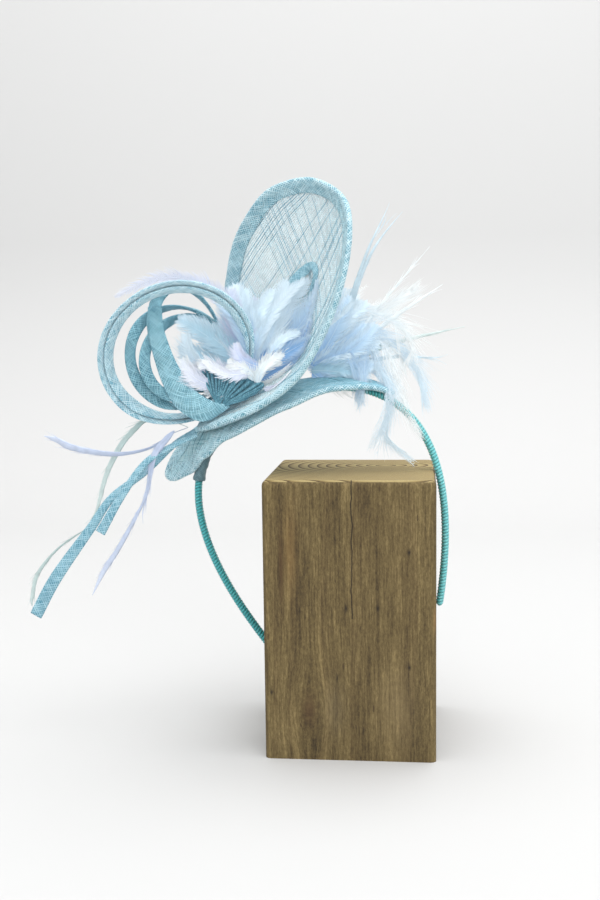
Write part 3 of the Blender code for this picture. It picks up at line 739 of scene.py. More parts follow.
def satinMaterial():
    made, tree, shader = newMaterial("wrapSatin", Roughness=0.42, Sheen_Weight=0.3, Sheen_Roughness=0.4)
    fine = noiseOf(tree, stretched(tree, weaveMap(tree), (60, 6, 1), (0, 0, 0.5)), Detail=3.0)
    colour = rampOf(fine, (0.28, colourOf(26, 116, 124)), (0.52, colourOf(52, 160, 164)),
                    (0.75, colourOf(128, 212, 212)))
    rib = Value(putNode(tree, "ShaderNodeAttribute", attribute_name="rib").outputs["Fac"])
    # painted shade in the grooves between the ribs and a painted highlight on their crests
    ribShadeAndHighlight = rampOf(rib, (0.10, (0.40, 0.50, 0.52)), (0.60, (0.95, 0.97, 0.97)), (1.0, (1.30, 1.22, 1.22)))
    ribbed = mixOf(tree, 1.0, colour, ribShadeAndHighlight, "MULTIPLY")
    share = shareOf(splitOf(tree, objectPlace(tree))[0], *wrap["paler"])
    paler = rampOf(share, (0.0, (1.0, 1.0, 1.0)), (1.0, (3.0, 1.45, 1.42)))
    feed(tree, mixOf(tree, 1.0, ribbed, paler, "MULTIPLY"), shader.inputs["Base Color"])
    bumpFrom(tree, shader, fine, 0.3, 0.0002)
    return made


bandGrid, bandRibs = wrappedBand()
wrapped = gridPiece("wrappedBand", bandGrid, satinMaterial(), ("headband",), closedAround=True, caps=True)
wrapped.data.attributes.new("rib", "FLOAT", "POINT").data.foreach_set("value", bandRibs.astype(np.float32).ravel())


def bandSleeve():
    start = -base["leftReach"] - sleeve["offset"]
    turns = 2 * np.pi * np.arange(sleeve["sides"]) / sleeve["sides"]
    shares = np.arange(sleeve["steps"] + 1) / sleeve["steps"]
    rings = []
    for inside, order in ((False, shares), (True, shares[::-1])):
        for share in order:
            centre, _, out = bandAt(start - sleeve["length"] * share)
            puff = 0.00016 * math.sin(share * 21) + 0.0001 * math.sin(share * 47)
            wall = sleeve["inner"] if inside else sleeve["outer"] + puff
            rings.append(ovalRing(centre, out, band["thickness"] / 2 + wall, band["depth"] / 2 + wall, turns))
    return np.array(rings)


gridPiece("bandSleeve", bandSleeve(), sleeveCloth, ("band_sleeve",), closedAlong=True, closedAround=True)


# woven surfaces, mapped by the length along their middle line and across it, in metres

def sheetMap(grid):
    middle = grid.shape[1] // 2
    along = np.concatenate([[0], np.cumsum(np.linalg.norm(np.diff(grid[:, middle], axis=0), axis=1))])
    steps = np.linalg.norm(np.diff(grid, axis=1), axis=2)
    across = np.concatenate([np.zeros((grid.shape[0], 1)), np.cumsum(steps, 1)], 1)
    return along, across - across[:, middle:middle + 1]


def gridNormals(grid, closedAlong=False, closedAround=False):
    du = np.roll(grid, -1, 0) - np.roll(grid, 1, 0)
    dv = np.roll(grid, -1, 1) - np.roll(grid, 1, 1)
    if not closedAlong:
        du[0], du[-1] = grid[1] - grid[0], grid[-1] - grid[-2]
    if not closedAround:
        dv[:, 0], dv[:, -1] = grid[:, 1] - grid[:, 0], grid[:, -1] - grid[:, -2]
    n = unitRows(np.cross(du, dv))
    for row in (0, -1):
        if not closedAlong and np.linalg.norm(dv[row]) < 1e-9:
            n[row] = n[1 if row == 0 else -2].mean(0)
    return unitRows(n)


def between(low, high, share):
    return np.array(low) + (np.array(high) - np.array(low)) * share


# parallel threads over a sheet, turned by an angle and lifted off it
def sheetStrands(grid, look, angle, lift, dyes, rng, step=0.0024):
    along, across = sheetMap(grid)
    normals = gridNormals(grid)
    columns = np.arange(grid.shape[1])
    size = math.hypot(along[-1], 2 * max(abs(across).max(), 0.01))
    c, s = math.cos(angle), math.sin(angle)
    t = np.arange(-size, size, step)
    strands = []
    offset = -size
    while offset < size:
        offset += look["pitch"] * rng.uniform(0.86, 1.14)
        u = along[-1] / 2 + c * t - s * offset
        v = s * t + c * offset
        row = np.interp(u, along, np.arange(len(along)))
        low = np.clip(row.astype(int), 0, len(along) - 2)
        f = (row - low)[:, None]
        inside = (u > 0.002) & (u < along[-1] - 0.002)
        places, faces = np.zeros((len(t), 3)), np.zeros((len(t), 3))
        for k in np.nonzero(inside)[0]:
            edge = across[low[k]] * (1 - f[k]) + across[low[k] + 1] * f[k]
            if v[k] < edge[0] + look["inset"] or v[k] > edge[-1] - look["inset"]:
                inside[k] = False
                continue
            col = np.interp(v[k], edge, columns)
            j = min(int(col), len(columns) - 2)
            g = col - j
            for source, target in ((grid, places), (normals, faces)):
                a = source[low[k], j] * (1 - g) + source[low[k], j + 1] * g
                b = source[low[k] + 1, j] * (1 - g) + source[low[k] + 1, j + 1] * g
                target[k] = a * (1 - f[k]) + b * f[k]
        bold = rng.random() < look["bold"]
        shade = dyes[0] if bold else between(dyes[1], dyes[2], rng.random())
        shown = np.nonzero(inside)[0]
        for run in np.split(shown, np.nonzero(np.diff(shown) > 1)[0] + 1):
            if len(run) < 3:
                continue
            wave = rng.uniform(0, 6.3, 3)
            x = t[run] * 1000
            uneven = (np.sin(x * 0.21 + wave[0]) * 0.5 + np.sin(x * 0.53 + wave[1]) * 0.3
                      + np.sin(x * 1.3 + wave[2]) * 0.3)
            thick = look["thread"] * (1.4 if bold else 1.0) * np.clip(1 + 0.45 * uneven, 0.35, 2.0)
            strands.append((places[run] + faces[run] * lift, thick, unitRows(faces[run]), shade))
    return strands


# threads wound both ways round a tube, or to and fro across an open strip
def tubeStrands(grid, pitch, thick, dyes, rng, closedAlong, closedAround, step=0.0021, lift=0.00005):
    normals = gridNormals(grid, closedAlong, closedAround)
    rows, columns = grid.shape[:2]
    along = np.linalg.norm(np.roll(grid, -1, 0) - grid, axis=-1).mean(1)
    around = np.linalg.norm(np.roll(grid, -1, 1) - grid, axis=-1).mean(0)
    if not closedAlong:
        along = along[:-1]
    if not closedAround:
        around = around[:-1]
    u, v = np.concatenate([[0], np.cumsum(along)]), np.concatenate([[0], np.cumsum(around)])

    def sample(us, vs):
        row = np.interp(us, u, np.arange(len(u)))
        col = np.interp(vs, v, np.arange(len(v)))
        i, j = np.minimum(row.astype(int), len(u) - 2), np.minimum(col.astype(int), len(v) - 2)
        f, g = (row - i)[:, None], (col - j)[:, None]
        i2, j2 = (i + 1) % rows, (j + 1) % columns
        made = []
        for source in (grid, normals):
            a = source[i, j] * (1 - g) + source[i, j2] * g
            b = source[i2, j] * (1 - g) + source[i2, j2] * g
            made.append(a * (1 - f) + b * f)
        return made[0], unitRows(made[1])

    length, girth = (u[-1], v[-1]) if closedAround else (v[-1], u[-1])
    count = int(girth / (pitch * 1.414))
    count = max(3, count) if closedAround else count
    t = np.linspace(0, length, max(4, int(length * 1.414 / step)))
    x = t * 1000
    strands = []
    for way in (1, -1):
        for start in [girth * (k + rng.uniform(-0.2, 0.2)) / count for k in range(count)]:
            turned = (start + way * t) % girth
            places, faces = sample(t, turned) if closedAround else sample(turned, t)
            rng.random()   # unused, but it keeps the order of the draws
            shade = between(dyes[1], dyes[2], rng.random())
            wave = rng.uniform(0, 6.3, 2)
            uneven = np.clip(1 + 0.35 * np.sin(x * 0.4 + wave[0]) + 0.25 * np.sin(x * 1.1 + wave[1]), 0.4, 1.8)
            over = np.where(np.sin(x * np.pi / (pitch * 1000) * 0.7 + (way > 0) * np.pi) > 0, 1.0, 0.3)
            strands.append((places + faces * (lift * over)[:, None], thick * uneven, faces, shade))
    return strands


# its skin and its threads in layers of (angle, lift); the size it was cut to in metres, kept in the look, is not used
def wovenSheet(name, look, grid, material, dyes, rng, layers, rides=(), treat=list):
    along, across = sheetMap(grid)
    made = gridPiece(name, grid, material, rides, wall=look["wall"],
                     places=np.stack([np.broadcast_to(along[:, None], across.shape), across], -1) * 100)
    strands = []
    for angle, lift in layers:
        strands += sheetStrands(grid, look, angle, lift, dyes, rng)
    threads = strandPiece(name.removesuffix("Shell") + "Threads", treat(strands), threadDye)


# dish: a sheer sheet with its threads

dishLook = dict(pitch=0.00120, thread=0.00016, bold=0.2, inset=0.002, wall=0.0004, flat=(0.105, 0.165), area=0.01265)
dishDyes = coloursOf((138, 186, 204), (196, 228, 236), (232, 245, 249))
fine = dishGrid(80, 24)
rng = np.random.default_rng(11)
wovenSheet("dishShell", dishLook, fine, dishCloth, dishDyes, rng, ((0.63, 0.00022), (-0.60, 0.00034)),
           ("dish_sheet",))

# base: several layers, so it is nearly closed; its far end lies in shade, which is painted into its colour as a darker
# tint, and its near end is painted lighter

baseLightAndShade = dict(span=(-0.085, -0.015), near=(1.12, 1.10, 1.08), far=(0.48, 0.68, 0.76))


# multiplies the threads' dyes by the base's painted light and shade
def paintBaseLightAndShade(strands):
    low, high = baseLightAndShade["span"]
    faded = []
    for points, size, face, shade in strands:
        share = np.clip((points[:, :1] - low) / (high - low), 0, 1)
        tone = between(baseLightAndShade["near"], baseLightAndShade["far"], share)
        faded.append((points, size, face, np.clip(np.array(shade) * tone, 0, 0.95)))
    return faded


baseLook = dict(pitch=0.0013, thread=0.00017, bold=0.12, inset=0.002, wall=0.0009, flat=(0.057, 0.153), area=0.00541)
baseDyes = coloursOf((84, 142, 160), (128, 180, 194), (196, 222, 228))
fineBase = baseGrid(70, 20)
layers = [(angle + 0.05 * side, 0.0005 * side) for angle in (0.7, -0.85) for side in (1, -1)]
wovenSheet("baseShell", baseLook, fineBase, baseCloth, baseDyes, rng, layers,
           ("base_sheet",), paintBaseLightAndShade)

# bindings: a strip folded over the edge of a sheet, thickest at its lip

binding = dict(
    width=0.0072,
    flatWidth=0.0185,
    lengths=dict(dish_binding=0.411, base_binding=0.334),
    wall=0.0004,
    leg=0.0009,
    lip=0.0016,
    step=0.0013,
    reaches=(1.0, 0.75, 0.5, 0.25, 0.04),
    innerReaches=(0, 2, 4),
    lipTurns=(70, 35, 0, -35, -70),
    pitch=0.00130,
    thread=0.00017,
    lift=0.00008,
)


def treeOf(grid):
    rows, columns = grid.shape[:2]
    faces = [(i * columns + j, i * columns + j + 1, (i + 1) * columns + j + 1, (i + 1) * columns + j)
             for i in range(rows - 1) for j in range(columns - 1)]
    return BVHTree.FromPolygons([Vector(p) for p in grid.reshape(-1, 3)], faces)


dishTree, baseTree = treeOf(fine), treeOf(fineBase)


def bindingGrid(grid, tree):
    edge = np.array([*grid[:-1, 0], grid[-1, 0], *grid[-2:0:-1, -1]])
    lengths = np.concatenate([[0], np.cumsum(np.linalg.norm(np.roll(edge, -1, 0) - edge, axis=1))])
    count = int(lengths[-1] / binding["step"])
    closed = np.vstack([edge, edge[:1]])
    places = np.linspace(0, lengths[-1], count, endpoint=False)
    even = np.stack([np.interp(places, lengths, closed[:, k]) for k in range(3)], 1)
    width, lip = binding["width"], binding["lip"]
    slim = 1 - binding["wall"] / binding["leg"]
    rings, lastFace = [], None
    for k in range(count):
        spot = Vector(even[k])
        ahead = (Vector(even[(k + 2) % count]) - Vector(even[k - 2])).normalized()
        normal = tree.find_nearest(spot)[1]
        face = (normal - ahead * normal.dot(ahead)).normalized()
        if lastFace is not None and face.dot(lastFace) < 0:
            face = -face
        lastFace = face
        inward = face.cross(ahead).normalized()
        if tree.find_nearest(spot + inward * width)[3] > tree.find_nearest(spot - inward * width)[3]:
            inward = -inward
        upper, middle, lower = [], [], []
        for reach in binding["reaches"]:
            place, normal, _, _ = tree.find_nearest(spot + inward * (reach * width))
            normal = normal if normal.dot(face) > 0 else -normal
            half = binding["leg"] + (lip - binding["leg"]) * max(0.0, 1 - reach / 0.45) ** 0.8
            upper.append(place + normal * half)
            middle.append(place)
            lower.append(place - normal * half)
        turn = [spot + face * (math.sin(a) * lip) - inward * (math.cos(a) * lip)
                for a in map(math.radians, binding["lipTurns"])]
        # the faces that lie against the sheet: back up the lower leg, round the turn and down the upper leg
        inner = [middle[n] + (lower[n] - middle[n]) * slim for n in binding["innerReaches"]]
        inner.append(spot - inward * (lip - binding["wall"]))
        inner += [middle[n] + (upper[n] - middle[n]) * slim for n in binding["innerReaches"][::-1]]
        rings.append([np.array(p) for p in upper + turn + lower[::-1] + inner])
    grid = np.array(rings)
    for _ in range(2):
        grid = (np.roll(grid, 1, 0) + 2 * grid + np.roll(grid, -1, 0)) / 4
    return grid


bindingDyes = coloursOf((92, 150, 168), (176, 214, 224), (198, 228, 236))
outer = len(binding["reaches"]) * 2 + len(binding["lipTurns"])
# the base binding's threads get the base's painted light and shade as well
for node, grid, tree, sheetNode, seed, treat in (("dish_binding", fine, dishTree, "dish_sheet", 21, list),
                                                 ("base_binding", fineBase, baseTree, "base_sheet", 22, paintBaseLightAndShade)):
    ring = bindingGrid(grid, tree)
    made = gridPiece(pieceName(node), ring, bindingCloth, (node,), closedAlong=True, closedAround=True)
    strands = tubeStrands(ring[:, :outer], binding["pitch"], binding["thread"], bindingDyes,
                          np.random.default_rng(seed), True, False, lift=binding["lift"])
    threads = strandPiece(pieceName(node) + "Threads", treat(strands), threadDye)

# loops and tails: flat tubes cut on the bias

strip = dict(width=0.0075, thickness=0.0020, radius=0.041, stack=0.0025, pitch=0.00125, thread=0.00018)
innerTones = ((28, 82, 102), (56, 118, 138), (140, 190, 204))
innerCloth = clothMaterial("innerCloth", innerTones, 9.0, 0.5, slub=0.2)
tailCloth = clothMaterial("tailCloth", ((50, 110, 134), (88, 148, 168), (168, 206, 218)), 9.0, 0.5, slub=0.2)
innerDyes = coloursOf((62, 122, 142), (134, 184, 198), (156, 202, 214))
tailDyes = coloursOf((70, 132, 156), (140, 188, 206), (164, 206, 220))
loops = (
    dict(name="loop_outer", level=0.7, ahead=-0.28, reach=0.93, spread=1.03, tilt=0, lean=17, spin=0, turn=38,
         swing=0, wide=1.0, show=0),
    dict(name="loop_second", level=1.7, ahead=-0.28, reach=0.86, spread=0.95, tilt=0, lean=17, spin=0, turn=38,
         swing=0, wide=0.95, show=0),
    dict(name="loop_left", level=3.1, ahead=-0.28, reach=0.70, spread=0.70, tilt=-2, lean=4, spin=30, turn=0,
         swing=58, wide=0.84, show=0.85),
    dict(name="loop_small", level=4.2, ahead=-0.20, reach=0.56, spread=0.72, tilt=0, lean=2, spin=42, turn=0,
         swing=46, wide=0.84, show=0.85),
    dict(name="loop_front", level=5.0, ahead=-0.20, reach=0.74, spread=0.50, tilt=12, lean=8, spin=40, turn=0,
         swing=48, wide=0.94, show=0.95),
)
stripDyes = coloursOf((92, 152, 174), (204, 233, 241), (226, 244, 249))


def flatRing(centre, wide, thin, width, thickness, sides=18):
    ring = []
    for k in range(sides):
        a = 2 * math.pi * k / sides
        x, y = math.cos(a), math.sin(a)
        hollow = 1 - 0.28 * math.exp(-(x / 0.42) ** 2)   # pressed flat along the middle
        ring.append(centre + wide * (width / 2 * math.copysign(abs(x) ** 0.9, x)) + thin * (thickness / 2 * y * hollow))
    return ring


def loopGrid(row, stations=110):
    tilt, lean, spin = (math.radians(row[k]) for k in ("tilt", "lean", "spin"))
    stand = (seatOut * math.cos(tilt) + seatAhead * math.sin(tilt)) * math.cos(lean) - back * math.sin(lean)
    side = unit(back - stand * back.dot(stand))
    cross = np.cross(side, stand) * math.cos(spin) + side * math.sin(spin)
    axis = np.cross(stand, cross)
    lowest = 0.0005 + 0.0003 + 0.0011
    root = seatSpot + seatOut * (lowest + strip["stack"] * row["level"]) + seatAhead * (strip["radius"] * row["ahead"])
    reach, spread = strip["radius"] * row["reach"], strip["radius"] * row["spread"]
    rings = []
    for i in range(stations):
        angle = 2 * math.pi * i / stations
        centre = root + stand * (reach * (1 - math.cos(angle))) + cross * (spread * math.sin(angle))
        along = unit(stand * (reach * math.sin(angle)) + cross * (spread * math.cos(angle)))
        outward = np.cross(along, axis)
        rise = min(1.0, (1 - math.cos(angle)) / 0.8)
        roll = math.radians(row["turn"] - row["swing"] * math.sin(angle)) * rise * rise * (3 - 2 * rise)
        wide = axis * math.cos(roll) + outward * math.sin(roll)
        flat = unit(np.cross(along, back))   # the flat side to the front
        flat = flat if flat @ outward > 0 else -flat
        share = row["show"] * min(1.0, rise * 1.3) * (0.62 - 0.38 * math.sin(angle))
        wide = unit(wide * (1 - share) + flat * share)
        thin = unit(np.cross(wide, along))
        width = strip["width"] * row["wide"] * (1 + 0.05 * math.sin(angle * 5 + row["level"]))
        rings.append(flatRing(centre, wide, thin, width, strip["thickness"]))
    return np.array(rings)


def stripPiece(name, grid, material, dyes, rides, closedAlong):
    gridPiece(name, grid, material, rides, closedAlong=closedAlong, closedAround=True, caps=not closedAlong)
    strands = tubeStrands(grid, strip["pitch"], strip["thread"], dyes, rng, closedAlong, True)
    strandPiece(name + "Threads", strands, threadDye)


rng = np.random.default_rng(5)
for row in loops:
    cloth, cords = (innerCloth, innerDyes) if row["show"] else (stripCloth, stripDyes)
    stripPiece(pieceName(row["name"]), loopGrid(row), cloth, cords, (row["name"],), True)

tails = (
    dict(name="tail_long", length=0.165, line=((-0.170, -0.012, -0.007, 0.70), (-0.250, -0.035, -0.007, 0.60),
         (-0.370, -0.085, -0.033, 0.60), (-0.512, -0.121, -0.047, 0.65), (-0.624, -0.133, -0.094, 0.75),
         (-0.819, -0.152, -0.174, 0.95), (-0.954, -0.152, -0.247, 0.95))),
    dict(name="tail_short", length=0.165, line=((-0.165, -0.055, -0.020, 0.55), (-0.240, -0.085, -0.010, 0.55),
         (-0.343, -0.135, -0.009, 0.55), (-0.471, -0.172, -0.063, 0.60), (-0.588, -0.195, -0.126, 0.75))),
)


def sweptStrip(points, widths, front, thickness, stations=90):
    rings = []
    for share in np.arange(stations + 1) / stations:
        along = unit(curveAt(points, share + 0.01) - curveAt(points, share - 0.01))
        wide = unit(np.cross(along, front(share)))
        width = float(curveAt(widths, share)[0])
        rings.append(flatRing(curveAt(points, share), wide, np.cross(wide, along), width, thickness))
    return np.array(rings)


tongueFace = baseFrame(0.2)[2]
for row in tails:
    points = [fromSeat(p[:3], row["length"]) for p in row["line"]]
    widths = [np.array((p[3] * strip["width"], 0)) for p in row["line"]]
    grid = sweptStrip(points, widths, lambda s: -back * s + tongueFace * (1 - s), strip["thickness"])
    stripPiece(pieceName(row["name"]), grid, tailCloth, tailDyes, (row["name"],), False)


def fromTable(point):   # millimetres ahead, back and out from the seat
    return seatSpot + (seatAhead * point[0] + back * point[1] + seatOut * point[2]) * 0.001


# moves points that lie inside the outline of a sheet to one side of it
def keepClear(points, tree, toward, gap):
    moved = np.array(points, dtype=float)
    for k, point in enumerate(moved):
        place, normal, _, distance = tree.find_nearest(Vector(point))
        if distance > 0.02:
            continue
        normal = np.array(normal)
        if normal @ toward < 0:
            normal = -normal
        step = point - np.array(place)
        depth = step @ normal
        aside = math.sqrt(max(distance * distance - depth * depth, 0.0))
        if depth < gap and aside < 0.0004:
            moved[k] = point + normal * (gap - depth)
    return moved


# painted shade: teal tones darkened for the strips that lie in shade behind the leaf and the loops
knotShadeCloth = clothMaterial("knotShadeCloth", ((28, 72, 92), (58, 116, 136), (120, 174, 190)), 13.0, 0.55)

# the front loop opens into a leaf that closes to a point at the knot

gather = dict(
    pitch=0.0010,
    thread=0.00014,
    bold=0.0,
    inset=0.0004,
    wall=0.0010,
    flat=(0.016, 0.081),
    area=0.00087,
    upper=((-3.5, -16.5, 65.5), (-8.1, -18.8, 56.0), (-10.5, -19.3, 47.5), (-12.7, -18.8, 36.9),
           (-13.5, -17.3, 25.5), (-12.2, -15.8, 15.3), (-7.8, -14.1, 6.8), (-1.6, -12.6, 0.5)),
    middle=((-6.9, -16.9, 67.7), (-11.3, -19.8, 58.0), (-14.5, -20.6, 49.5), (-17.6, -20.8, 38.9),
            (-19.6, -20.3, 27.3), (-19.1, -18.8, 12.9), (-11.8, -15.8, 3.2), (-1.6, -12.6, 0.1)),
    lower=((-9.9, -16.5, 69.6), (-14.8, -19.1, 60.2), (-18.8, -19.8, 51.8), (-21.9, -19.8, 42.8),
           (-25.2, -19.3, 30.1), (-26.3, -17.8, 15.1), (-18.8, -14.8, 1.0), (-1.6, -12.6, -0.4)),
)


def gatheredPiece(name, look, grid, material, dyes, seed):
    lift = look["wall"] * 0.55
    layers = [(angle, side * lift) for angle in (0.785, -0.785) for side in (1, -1)]
    wovenSheet(name, look, grid, material, dyes, np.random.default_rng(seed), layers)


# painted light: the leaf is made lighter towards its bottom
leafCloth = clothMaterial("leafCloth", innerTones, 9.0, 0.5, slub=0.2, axis=2,
                          fade=(0.205, 0.245, (1.75, 1.50, 1.45), (1.0, 1.0, 1.0)))
leafLines = [[fromTable(p) for p in gather[key]] for key in ("upper", "middle", "lower")]
leaf = sheetGrid(*(lambda s, line=line: curveAt(line, s) for line in leafLines), 48, 18)
gatheredPiece("gatherLeaf", gather, leaf, leafCloth, innerDyes, 31)

# the pleated end of the strips behind it, painted dark for the shade it lies in

fanLook = dict(pitch=0.0012, thread=0.00015, bold=0.0, inset=0.0004, wall=0.0007)
knotFans = (
    dict(name="knotUpper", root=(-7.3, -13.3, 3.3), pleats=8, depth=0.0011, flat=(0.044, 0.0215), area=0.0006,
         tips=((-5.4, -11.3, 24.2), (-0.5, -10.8, 25.2), (3.0, -9.8, 23.6), (5.7, -9.3, 20.3), (7.5, -9.3, 15.9),
               (7.6, -10.3, 9.8))),
    dict(name="knotLower", root=(-6.6, -12.3, 2.4), pleats=7, depth=0.0010, flat=(0.044, 0.025), area=0.00052,
         tips=((7.4, -10.3, 10.2), (13.4, -9.3, 8.0), (17.8, -9.3, 4.1), (20.6, -10.3, 0.1), (16.5, -11.3, -1.6),
               (7.4, -12.3, -1.7))),
)


def pleatGrid(look, rows=26, columns=84):
    root, tips = fromTable(look["root"]), [fromTable(p) for p in look["tips"]]
    grid = np.zeros((rows + 1, columns + 1, 3))
    for j in range(columns + 1):
        q = j / columns
        tip = curveAt(tips, q)
        for i in range(rows + 1):
            t = 0.08 + 0.92 * i / rows
            phase = q * math.pi * 2 * look["pleats"] + 1.5 * math.sin(q * 8.0) + 0.9 * math.sin(t * 5.0 + q * 4.0)
            fold = math.sin(phase) * look["depth"] * math.sin(t * math.pi * 0.6)
            grid[i, j] = root + (tip - root) * t - back * (math.sin(t * math.pi) * 0.0025 + fold)
    return grid


knotShadeDyes = coloursOf((26, 66, 86), (48, 102, 122), (104, 162, 180))
for fan in knotFans:
    gatheredPiece(fan["name"], {**fanLook, **fan}, pleatGrid(fan), knotShadeCloth, knotShadeDyes, 32)

# a bow of the same tube stands up inside the dish

innerArc = dict(
    line=((34, 12, 16), (48, 14, 30), (61.4, 14.0, 40.0), (72.4, 14.0, 42.5), (79, 13.0, 39.5), (81.4, 12.5, 34),
          (78, 12.5, 28), (66, 12, 20)),
    widths=(0.5, 0.7, 0.95, 1.0, 0.8, 0.6, 0.5, 0.4),
    narrow=0.85,
    thickness=0.0011,
    clear=0.0016,
    surfaceClear=0.0009,
)
arcLine = list(keepClear([fromTable(p) for p in innerArc["line"]], dishTree, -back, innerArc["clear"]))
arcWidths = [np.array((w * strip["width"] * innerArc["narrow"], 0)) for w in innerArc["widths"]]
arcGrid = sweptStrip(arcLine, arcWidths, lambda s: unit(-back + seatOut * 0.5), innerArc["thickness"])
arcGrid = keepClear(arcGrid.reshape(-1, 3), dishTree, -back, innerArc["surfaceClear"]).reshape(arcGrid.shape)
stripPiece("innerArc", arcGrid, tailCloth, tailDyes, (), False)

# feathers: a quill with barbs on both sides, which part in clumps

dyes = {key: np.array(colourOf(*value)) for key, value in dict(
    deep=(138, 182, 226), sky=(190, 218, 240), pale=(218, 235, 245), white=(244, 249, 251), lilac=(202, 211, 234),
    bloom=(226, 231, 243), aqua=(178, 212, 228)).items()}
tintSets = dict(
    aqua=("aqua", "aqua", "pale"), white=("pale", "white", "white"), bloom=("lilac", "bloom", "white"),
    pale=("sky", "pale", "pale"), sky=("deep", "sky", "pale"), lilac=("deep", "lilac", "bloom"),
    deep=("deep", "deep", "pale"),
)
plume = dict(barbs=84, steps=6, thick=0.00040, scale=1.0, flatness=0.16, bare=0.06, cup=0.12, gather=0.16, drift=0.09,
             curl=0.07, ragged=0.11, jitter=2.2, lean=0.30, sweep=1.0, spread=1.0)


def featherStrands(line, face, halfWidth, tint, rng, **changes):
    look = {**plume, **changes}
    root, middle, edge = (dyes[key] for key in tintSets[tint])
    barbs = look["barbs"]
    shares = np.linspace(look["bare"], 0.985, barbs)
    quill = np.array([curveAt(line, s) for s in shares])
    along = unitRows(np.gradient(quill, axis=0))
    length = np.linalg.norm(np.diff(quill, axis=0), axis=1).sum()
    t = np.linspace(0, 1, look["steps"])
    strands = []
    side = unitRows(np.cross(np.broadcast_to(face, along.shape), along))
    up = unitRows(np.cross(along, side))
    for sign in (1, -1):
        left = 0
        for k, share in enumerate(shares):
            if left <= 0:
                left = int(rng.integers(4, 12))
                drift, curl = rng.normal(0, look["drift"]), rng.normal(0, look["curl"])
                centre = shares[min(k + left // 2, barbs - 1)]
            left -= 1
            outline = math.sin(math.pi * min(share, 0.97) ** 0.72) ** 0.55
            reach = halfWidth * outline * (1 + rng.normal(0, look["ragged"]))
            pull = (centre - share) * length * look["gather"]
            ahead = reach * look["sweep"] * (0.42 * t + (0.62 + drift) * t * t) + pull * t * t
            across = reach * look["spread"] * (t - 0.22 * t * t) * sign
            rise = reach * (look["cup"] + curl) * t * t
            points = quill[k] + across[:, None] * side[k] + ahead[:, None] * along[k] + rise[:, None] * up[k]
            w = np.clip(0.62 * share + 0.45 * t, 0, 1)[:, None] * 2
            shade = root + (middle - root) * np.minimum(w, 1) + (edge - middle) * np.clip(w - 1, 0, 1)
            shade = shade * (1 + rng.normal(0, 0.025))
            size = look["thick"] * look["scale"] * (1 - 0.82 * t ** 1.6)
            strands.append((points, size, up[k], np.clip(shade, 0, 0.95)))
    stations = np.linspace(0, 0.97, 18)
    shaft = np.array([curveAt(line, s) for s in stations])
    normals = np.array([up[min(int(s * barbs), barbs - 1)] for s in stations])
    strands.append((shaft + normals * 0.0001, np.linspace(0.00034, 0.00010, 18), normals, middle * 0.4 + edge * 0.6))
    return strands


def bowedLine(root, tip, lift, aside, face):
    run = tip - root
    side = unit(np.cross(face, run))
    length = np.linalg.norm(run)
    return [root + run * s + (face * lift + side * aside) * length * 4 * s * (1 - s) for s in np.linspace(0, 1, 6)]


frontFeathers = dict(
    root=(14.2, 1.5, 7.5),
    leftOnes=(
        ((-1.5, -8.3, 53.7), 9.0, "aqua", -0.06, 2), ((-6.8, -10.3, 44.0), 9.0, "aqua", 0.08, 2),
        ((-12.7, -12.3, 30.2), 8.5, "bloom", -0.05, 2), ((-9.7, -12.3, 15.2), 6.5, "bloom", 0.08, 2),
        ((-0.5, -9.3, 31.4), 5.0, "white", 0.16, 1), ((10.0, -5.0, 45.0), 9.0, "pale", 0.05, 2),
        ((21.8, -3.3, 57.1), 10.0, "sky", -0.04, 2), ((30.9, -1.3, 55.2), 10.0, "lilac", 0.05, 2),
        ((37.0, 0.7, 51.0), 8.5, "pale", -0.05, 2), ((40.0, 1.7, 40.2), 6.5, "lilac", 0.10, 2),
    ),
    rightOnes=(
        ((50.7, 4.7, 41.3), 8.0, "pale", 0.06, 2), ((60.9, 6.7, 40.5), 9.0, "pale", -0.05, 2),
        ((71.2, 8.7, 35.9), 9.0, "pale", 0.04, 2), ((78.1, 7.7, 29.4), 8.5, "sky", -0.05, 2),
        ((73.6, 5.7, 21.6), 8.5, "sky", 0.06, 2), ((65.0, 3.7, 13.9), 7.5, "deep", -0.06, 2),
        ((57.3, 1.7, 8.0), 6.0, "deep", 0.06, 2), ((44.7, -2.3, 3.0), 5.0, "white", 0.14, 2),
        ((38.8, -4.3, -1.4), 4.5, "white", -0.12, 1), ((37.4, -0.3, 25.3), 6.0, "lilac", 0.16, 2),
    ),
)


def featherGroup(group, key, rng, toward, gap, **changes):
    strands = []
    for tip, halfWidth, tint, aside, copies in group[key]:
        for copy in range(copies):
            shake = rng.normal(0, plume["jitter"], 3) * (1.0 if copy else 0.4)
            end = fromTable(np.array(tip) + shake)
            start = fromTable(np.array(group["root"]) + rng.normal(0, 1.1, 3))
            face = unit(-back + seatAhead * rng.normal(0, plume["lean"]) + seatOut * rng.normal(0, plume["lean"]))
            line = bowedLine(start, end, rng.uniform(0.02, 0.16), aside * (1 if copy else 1.4), face)
            strands += featherStrands(line, face, halfWidth * 0.001 * rng.uniform(0.86, 1.08), tint, rng, **changes)
    return [(keepClear(points, dishTree, toward, gap + 0.0004 * (n % 5)), size, face, shade)
            for n, (points, size, face, shade) in enumerate(strands)]


def featherPiece(name, strands, rides=()):
    strandPiece(name, strands, featherDyeGlow, rides, plume["flatness"])


rng = np.random.default_rng(77)
featherPiece("frontFeathersLeft", featherGroup(frontFeathers, "leftOnes", rng, -back, 0.0012), ("plume_front",))
featherPiece("frontFeathersRight", featherGroup(frontFeathers, "rightOnes", rng, -back, 0.0012))

